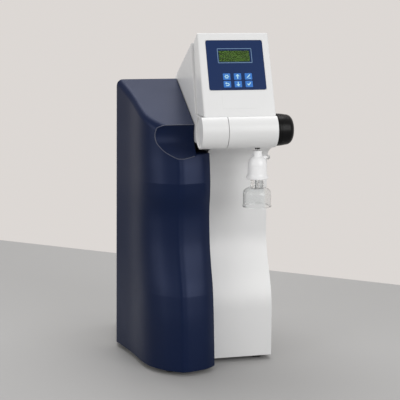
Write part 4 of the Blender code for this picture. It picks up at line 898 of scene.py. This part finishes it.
def makeOverlay():
    form = faceForm
    past, (width, corner, innerCorner, rise) = form["past"], form["lineMake"]
    overlay = plate("controlOverlay", form["overlay"], form["corner"], form["low"], form["high"], 8)
    holes = [form["window"]]
    for _, x, y in keyCentres():
        wide, tall = form["key"][0] / 2, form["key"][1] / 2
        holes.append((x - wide, x + wide, y - tall, y + tall))
    for hole in holes:
        carve(overlay, plate("holeTool", grown(hole, form["holeGap"]), form["holeCorner"], -past, past, 5))
    roundEdges(overlay, form["overlayRound"], 2)
    settle(onFace(overlay), "machine", "overlayBlue", ("control_overlay",))
    line = plate("displayLine", form["line"], corner, form["high"] - rise, form["high"] + rise, 6)
    carve(line, plate("lineTool", grown(form["line"], -width), innerCorner, -past, past, 6))
    settle(onFace(line), "machine", "linePale")


def makeDisplay():
    form = faceForm
    lens = plate("displayLens", form["window"], form["lensCorner"], form["low"], form["high"], 5)
    roundEdges(lens, form["lensRound"], 2)
    settle(onFace(lens), "machine", "displayClear", ("display_lens",))
    carried("displayPanel", "display_module", "displayGreen")


glyphForm = {"scale": 0.00115, "thick": 0.00012, "ring": (0.0016, 0.0032)}

arrow = [(0, 3.9), (3.1, 0.6), (1.7, 0.1), (0.85, 1.0), (0.85, -3.6), (-0.85, -3.6), (-0.85, 1.0),
         (-1.7, 0.1), (-3.1, 0.6)]
tooth = [(-0.6, 2.6), (0.6, 2.6), (0.45, 3.6), (-0.45, 3.6)]

glyphs = {
    # key: flat outlines, each with its turn in degrees
    "back": [([(-2.2, -2.9), *arc((0.6, -0.4), (2.7, 2.5), -90, 90, 10), (-1.2, 2.1), (-1.2, 0.75),
               *arc((0.6, -0.4), (1.3, 1.15), 90, -90, 10), (-2.2, -1.55)], 0),
             ([(-1.1, -0.5), (-3.5, 1.45), (-1.1, 3.4)], 0)],
    "confirm": [([(-3.2, -0.1), (-1.9, 1.1), (-0.8, -0.5), (2.3, 3.0), (3.4, 2.0), (-0.7, -3.1)], 0)],
    "edit": [([(-2.2, -1.2), (-0.9, -2.1), (3.2, 2.2), (1.9, 3.6)], 0),
             ([(-2.5, -1.5), (-3.4, -3.3), (-1.3, -2.4)], 0),
             ([(-0.6, -3.5), (3.4, -3.5), (3.4, -2.7), (0.2, -2.7)], 0)],
    "up": [(arrow, 0)], "down": [(arrow, 180)],
    "measure": [(tooth, turned) for turned in range(30, 360, 60)],
}


def makeGlyph(key, height):
    scale, thick = glyphForm["scale"], glyphForm["thick"]
    parts = []
    if key == "measure":
        inner, outer = glyphForm["ring"]
        high = height + thick
        ring = [(inner, height), (outer, height), (outer, high), (inner, high)]
        parts.append(lathe("ring", ring, 40, "ring"))
    for outline, turned in glyphs[key]:
        part = prism("stroke", [(x * scale, y * scale, height) for x, y in outline], (0, 0, thick))
        parts.append(turn(part, angles=(0, 0, radians(turned))))
    return joined("glyph" + key.capitalize(), *parts)


def makeKeys():
    form = faceForm
    wide, tall = form["key"][0] / 2, form["key"][1] / 2
    corner, deep, proud, edge = form["keyMake"]
    top = form["high"] + proud
    model = plate("keyModel", (-wide, wide, -tall, tall), corner, form["high"] - deep, top, 6)
    roundEdges(model, edge)
    for name, x, y in keyCentres():
        key = turn(copied(model, "key" + name.capitalize()), (x, y, 0))
        settle(onFace(key), "key_" + name, "keyBlue", ("key_" + name,))
        glyph = turn(makeGlyph(name, top - glyphForm["thick"] / 2), (x, y, 0))
        settle(onFace(glyph), "key_" + name, "glyphPale")
    bpy.data.objects.remove(model)


# The sign's place under the keys stays a bare, slightly raised plate
def makeBlankLabel():
    corner, deep, proud, edge = faceForm["labelMake"]
    label = plate("blankLabel", faceForm["label"], corner, -deep, proud, 5)
    roundEdges(label, edge, 2)
    settle(onFace(label), "machine", "housingWhite")


def makeFace():
    makeOverlay()
    makeDisplay()
    makeKeys()
    makeBlankLabel()
    print("control face: overlay, display, keys and label")


# Barrel: two turned sections with a seam between them, trimmed where the face's foot rests
barrelForm = {
    "front": -0.05, "height": 0.447, "radius": 0.0315, "wall": 0.0025, "left": -0.0428, "right": 0.0942,
    "split": 0.0043, "splitGap": 0.0008, "edge": 0.0007, "axleHole": 0.0066, "outletX": 0.0635,
    "capDepth": 0.003, "capGap": 0.0003,
    "capEdge": [(-0.0006, 0), (-0.0001, 0.0002), (0, 0.0007), (0, 0.0025)],
    "portRadius": 0.0051, "portReach": (-0.04, -0.02),
    "foot": (-0.0627, 0.4712), "lean": radians(23.6), "trimPast": 0.012,
}


# Lays a shape that was turned about Z along the barrel
def alongBarrel(piece, x):
    return turn(piece, (x, barrelForm["front"], barrelForm["height"]), (0, pi / 2, 0))


# The barrel is cut level under the head and along the face's slope in front of it
def trimTool():
    form = barrelForm
    foot, footHeight = form["foot"]
    lean, past, top = form["lean"], form["trimPast"], form["radius"]
    behind = form["front"] + form["radius"] + past
    front = [(up * sin(lean) - out * cos(lean) + foot, up * cos(lean) + out * sin(lean) + footHeight)
             for up, out in ((0, past), (0, 0), (top, past))]
    outline = front[:2] + [(behind, footHeight), (behind, footHeight + top), front[2]]
    low = 2 * form["left"]
    return prism("trimTool", [(low, y, z) for y, z in outline], (2 * form["right"] - low, 0, 0))


def makeBarrel():
    form = barrelForm
    radius, edge, wall, hole = form["radius"], form["edge"], form["wall"], form["axleHole"]
    inner, half = radius - wall, form["splitGap"] / 2
    leftLength = form["split"] - half - form["left"]
    rightLength = form["right"] - form["split"] - half

    def corner(across, along, start):
        return arc((across, along), (edge, edge), start, start + 90, 4)

    profile = corner(radius - edge, edge, -90) + corner(radius - edge, leftLength - edge, 0)
    profile += corner(inner + edge, leftLength - edge, 90) + corner(inner + edge, edge, 180)
    left = alongBarrel(lathe("barrelLeft", profile, 128, "ring"), form["left"])
    carve(left, trimTool())
    settle(left, "machine", "housingWhite", ("barrel_left_section",))
    profile = corner(radius - edge, edge, -90) + corner(radius - edge, rightLength - edge, 0)
    profile += [(hole, rightLength), (hole, rightLength - wall), (inner, rightLength - wall), (inner, 0)]
    right = alongBarrel(lathe("barrelRight", profile, 128, "ring"), form["split"] + half)
    port = lathe("portTool", [(form["portRadius"], reach) for reach in form["portReach"]], 48)
    turn(port, (form["outletX"], form["front"], form["height"]))
    carve(right, trimTool(), port)
    settle(right, "machine", "housingWhite", ("barrel_right_section",))
    profile = stepped((inner - form["capGap"], 0), form["capEdge"])
    cap = alongBarrel(lathe("barrelEndCap", profile, 128), form["left"] + form["capDepth"])
    carve(cap, trimTool())
    settle(cap, "machine", "headGrey", ("barrel_end_cap",))
    print("barrel: two sections and an end cap")


knobForm = {
    "place": 0.0964, "radius": 0.029, "tip": 0.0272, "length": 0.0296, "edge": 0.0012, "round": 0.012,
    "groovePlace": 0.0042,
    "groove": [(-0.0001, 0), (-0.0005, 0.0002), (-0.0005, 0.0006), (-0.0002, 0.0008)],
    "taperSteps": 6, "taperBend": 1.6, "dish": [(0.0145, 0), (0.0115, -0.0006), (0.004, -0.00072)],
    "core": 0.0008, "plug": 0.002, "plugLow": 0.0191, "bore": 0.00615, "boreEnd": 0.0151,
    # collar: bore, radius, edge, length
    "collar": (0.0063, 0.027, 0.0003, 0.0016), "collarPlace": 0.0945,
}


def makeKnob():
    form = knobForm
    radius, length, edge, tip = form["radius"], form["length"], form["edge"], form["tip"]
    bore, boreEnd, end = form["bore"], form["boreEnd"], length - form["round"]
    profile = [(bore, 0), (radius - edge, 0)] + arc((radius - edge, edge), (edge, edge), -70, 0, 4)
    profile += stepped((radius, form["groovePlace"]), form["groove"])
    wide, start = profile[-1]
    for i in range(1, form["taperSteps"]):
        share = i / form["taperSteps"]
        profile.append((wide - (wide - tip) * share ** form["taperBend"], start + (end - start) * share))
    profile += arc((tip - form["round"], end), (form["round"], form["round"]), 0, 84, 12)
    profile += stepped((0, length), form["dish"])
    bottom = profile[-1][1]
    profile += [(form["core"], bottom), (form["core"], boreEnd), (bore, boreEnd)]
    knob = lathe("dispenseKnob", profile, 128, "ring")
    weld(knob, lathe("knobPlug", [(form["plug"], form["plugLow"]), (form["plug"], bottom)], 32))
    settle(alongBarrel(knob, form["place"]), "knob", "knobBlack", ("dispense_knob",))
    bore, radius, edge, length = form["collar"]
    profile = [(bore, 0), (radius - edge, 0), (radius, edge), (radius, length), (bore, length)]
    collar = lathe("knobCollar", profile, 96, "ring")
    settle(alongBarrel(collar, form["collarPlace"]), "machine", "valveBlack", ("knob_collar",))
    print("knob and collar")


# Outlet and final filter, all turned about the outlet's own line
filterForm = {
    "nozzle": [(0.0025, 0.4025), (0.0036, 0.4025), (0.0038, 0.4035), (0.0045, 0.41295), (0.0025, 0.41295)],
    # neck: radius, top, edge; dome: low, top; bell: radius, shoulder, low, wall, edge
    "neck": (0.008, 0.4105, 0.0008), "neckFoot": [(0, 0.0015), (0.0004, 0.0004)], "dome": (0.384, 0.4),
    "radius": 0.017, "bottom": 0.36, "bore": 0.0025, "socket": 0.0051, "gap": 0.0003,
    "seam": [(0, -0.0015), (-0.0003, -0.0017), (-0.0003, -0.0021), (0, -0.0023)],
    "flange": [(0.0172, 0.0084), (0.0178, 0.006), (0.0192, 0.00448), (0.02, 0.0036), (0.02, 0.0006),
               (0.0194, 0)],
    "bridge": (-0.02, 0.001), "ventHeight": 0.398, "stub": [(0.003, 0), (0.003, 0.0129), (0.0027, 0.0132)],
    "cap": [(0.0034, 0), (0.004, 0.0006), (0.004, 0.00385), (0.0033, 0.004125), (0.0033, 0.0049),
            (0.0026, 0.0055)],
    "clearRadius": 0.012, "clearLow": 0.344, "ribs": 4,
    "rib": [(0, 0.2), (0.0003, 0.28), (0.0011, 0.45), (0.0011, 0.75), (0.0003, 0.92), (0, 1)],
    "bell": (0.0255, 0.333, 0.3085, 0.0015, 0.0008),
    "bellRim": [(0, 0.0024), (0.0006, 0.0018), (0.0006, 0.0006), (0, 0)],
}


def underOutlet(piece):
    return turn(piece, (barrelForm["outletX"], barrelForm["front"], 0))


def makeFilter():
    form = filterForm
    nozzle = underOutlet(lathe("outletNozzle", form["nozzle"], 64, "ring"))
    settle(nozzle, "machine", "clearPlastic", ("outlet_nozzle",))
    makeCapsule(form)
    makeClearCollar(form)
    makeBell(form)
    print("outlet, filter and bell")


def makeCapsule(form):
    (neck, neckTop, edge), (domeLow, domeTop) = form["neck"], form["dome"]
    bore, socket, radius, bottom = form["bore"], form["socket"], form["radius"], form["bottom"]
    profile = [(socket, neckTop), (neck - edge, neckTop), (neck, neckTop - edge)]
    profile += stepped((neck, domeTop), form["neckFoot"])
    profile += arc((neck, domeLow), (radius - neck, domeTop - domeLow), 90, 0, 14)[1:]
    profile += stepped((radius, domeLow), form["seam"]) + stepped((0, bottom), form["flange"])
    socketLow = neckTop - neck - form["gap"]
    profile += [(bore, bottom), (bore, socketLow), (socket, socketLow)]
    capsule = underOutlet(lathe("filterCapsule", profile, 96, "ring"))
    start = barrelForm["outletX"] + neck / 2
    stub = lathe("ventStub", form["stub"], 48)
    turn(stub, (start, barrelForm["front"], form["ventHeight"]), (0, pi / 2, 0))
    weld(capsule, stub)
    bridge = lathe("boreTool", [(bore, socketLow + reach) for reach in form["bridge"]], 96)
    carve(capsule, underOutlet(bridge))
    settle(capsule, "final_filter", "filterWhite", ("filter_capsule",))
    cap = lathe("filterVentCap", form["cap"], 48)
    start += form["stub"][-1][1] + form["gap"]
    turn(cap, (start, barrelForm["front"], form["ventHeight"]), (0, pi / 2, 0))
    settle(cap, "vent_cap", "frostedPlastic", ("filter_vent_cap",))


def makeClearCollar(form):
    radius, high, low = form["clearRadius"], form["bottom"] - form["gap"], form["clearLow"]
    pitch = (high - low) / form["ribs"]
    profile = [(form["bore"], high), (radius, high)]
    for i in range(form["ribs"]):
        top = high - i * pitch
        profile += [(radius - deep, top - pitch * share) for deep, share in form["rib"]]
    profile.append((form["bore"], low))
    collar = underOutlet(lathe("filterClearCollar", profile, 96, "ring"))
    settle(collar, "final_filter", "clearPlastic", ("filter_outlet_collar",))


def makeBell(form):
    radius, shoulder, low, wall, edge = form["bell"]
    high, neck, bore = form["clearLow"] - form["gap"], form["clearRadius"], form["bore"]
    drop = high - shoulder
    profile = [(bore, high), (neck - edge, high)]
    profile += arc((neck, shoulder), (radius - neck, drop), 90, 0, 14)
    profile += stepped((radius, low), form["bellRim"]) + [(radius - wall, low)]
    profile += arc((neck, shoulder - wall / 2), (radius - wall - neck, drop - wall / 2), 0, 90, 14)
    profile.append((bore, high - wall))
    bell = underOutlet(lathe("filterBell", profile, 96, "ring"))
    settle(bell, "bell", "clearPlastic", ("filter_bell",))


screwForm = {
    "across": (-0.0767, 0.0, 0.0767), "up": (0.0385, 0.1915), "face": 0.2897,
    "radius": 0.0033, "proud": 0.0016, "sunk": 0.0006,
    "dome": [(1, 0.35), (0.93, 0.7), (0.75, 0.93), (0.4, 1)],
    "slot": (0.0021, 0.0004, 0.0009), "turnStep": radians(25),
}


# Cross-head screws hold the back panel at its corners and mid-edges
def makeBackScrews():
    form = screwForm
    radius, proud, (long, wide, deep) = form["radius"], form["proud"], form["slot"]
    profile = [(radius, -form["sunk"])] + [(radius * out, proud * up) for out, up in form["dome"]]
    head = lathe("screwHead", profile, 48)
    for x, y in ((long, wide), (wide, long)):
        carve(head, block("slotTool", (-x, -y, proud - deep), (x, y, 2 * proud)))
    spots = [(x, z) for x in form["across"] for z in form["up"]]
    for i, (x, z) in enumerate(spots):
        screw = turn(copied(head, "backScrew" + str(i + 1)), angles=(0, 0, form["turnStep"] * i))
        turn(screw, (x, form["face"], z), (-pi / 2, 0, 0))
        settle(screw, "machine", "steel")
    bpy.data.objects.remove(head)
    print("back panel: screws")


def camel(words):
    first, *rest = words.split("_")
    return first + "".join(word.capitalize() for word in rest)


# Housing, column, base and everything behind the door are carried from the frame.
# A slot's finish has the slot's own name, apart from two that share the valve's black.
def carryTheRest():
    shared = {"magnet_black": "valveBlack", "pump_black": "valveBlack"}
    count = 0
    for node, shape in nodes.items():
        if not shape.hide_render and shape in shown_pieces():
            carried(camel(node), node, shared.get(slotOf[node], camel(slotOf[node])))
            count += 1
    print("carried pieces:", count)


# The camera and the reflections see the backdrop; neutral light comes from all round
def makeWorld():
    world = bpy.data.worlds.new("studio")
    bpy.context.scene.world = world
    world.use_nodes = True
    tree = world.node_tree
    light = tree.nodes["Background"]
    seen = tree.nodes.new("ShaderNodeBackground")
    light.inputs["Color"].default_value = studio["light"]
    light.inputs["Strength"].default_value = studio["ambient"]
    seen.inputs["Color"].default_value = studio["backdrop"]
    path = tree.nodes.new("ShaderNodeLightPath")
    rays = path.outputs["Is Camera Ray"]
    for name in ("Is Glossy Ray", "Is Transmission Ray"):
        both = tree.nodes.new("ShaderNodeMath")
        both.operation = "MAXIMUM"
        tree.links.new(rays, both.inputs[0])
        tree.links.new(path.outputs[name], both.inputs[1])
        rays = both.outputs[0]
    mix = tree.nodes.new("ShaderNodeMixShader")
    for i, socket in enumerate((rays, light.outputs[0], seen.outputs[0])):
        tree.links.new(socket, mix.inputs[i])
    tree.links.new(mix.outputs[0], tree.nodes["World Output"].inputs[0])


def makeStudio():
    makeWorld()
    deselectAll()
    left, right, near, far = studio["floorSides"]
    bpy.ops.mesh.primitive_plane_add(size=1)
    floor = named("floor")
    placeVertices(floor, ((left, near, 0), (right, near, 0), (left, far, 0), (right, far, 0)))
    turn(floor, angles=(0, 0, studio["floorTurn"]))
    finish = Finish("floor", studio["floor"], {"Roughness": studio["floorRough"]})
    floor.data.materials.append(finish.material)
    floor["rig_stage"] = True
    makeCamera()
    makeLamps()
    bpy.context.scene.view_settings.view_transform = "Standard"
    print("studio: backdrop, floor, camera and lamps")


makeStudio()
makeFinishes()
makeDoor()
makeHead()
makeFace()
makeBarrel()
makeKnob()
makeFilter()
makeBackScrews()
carryTheRest()
deselectAll()
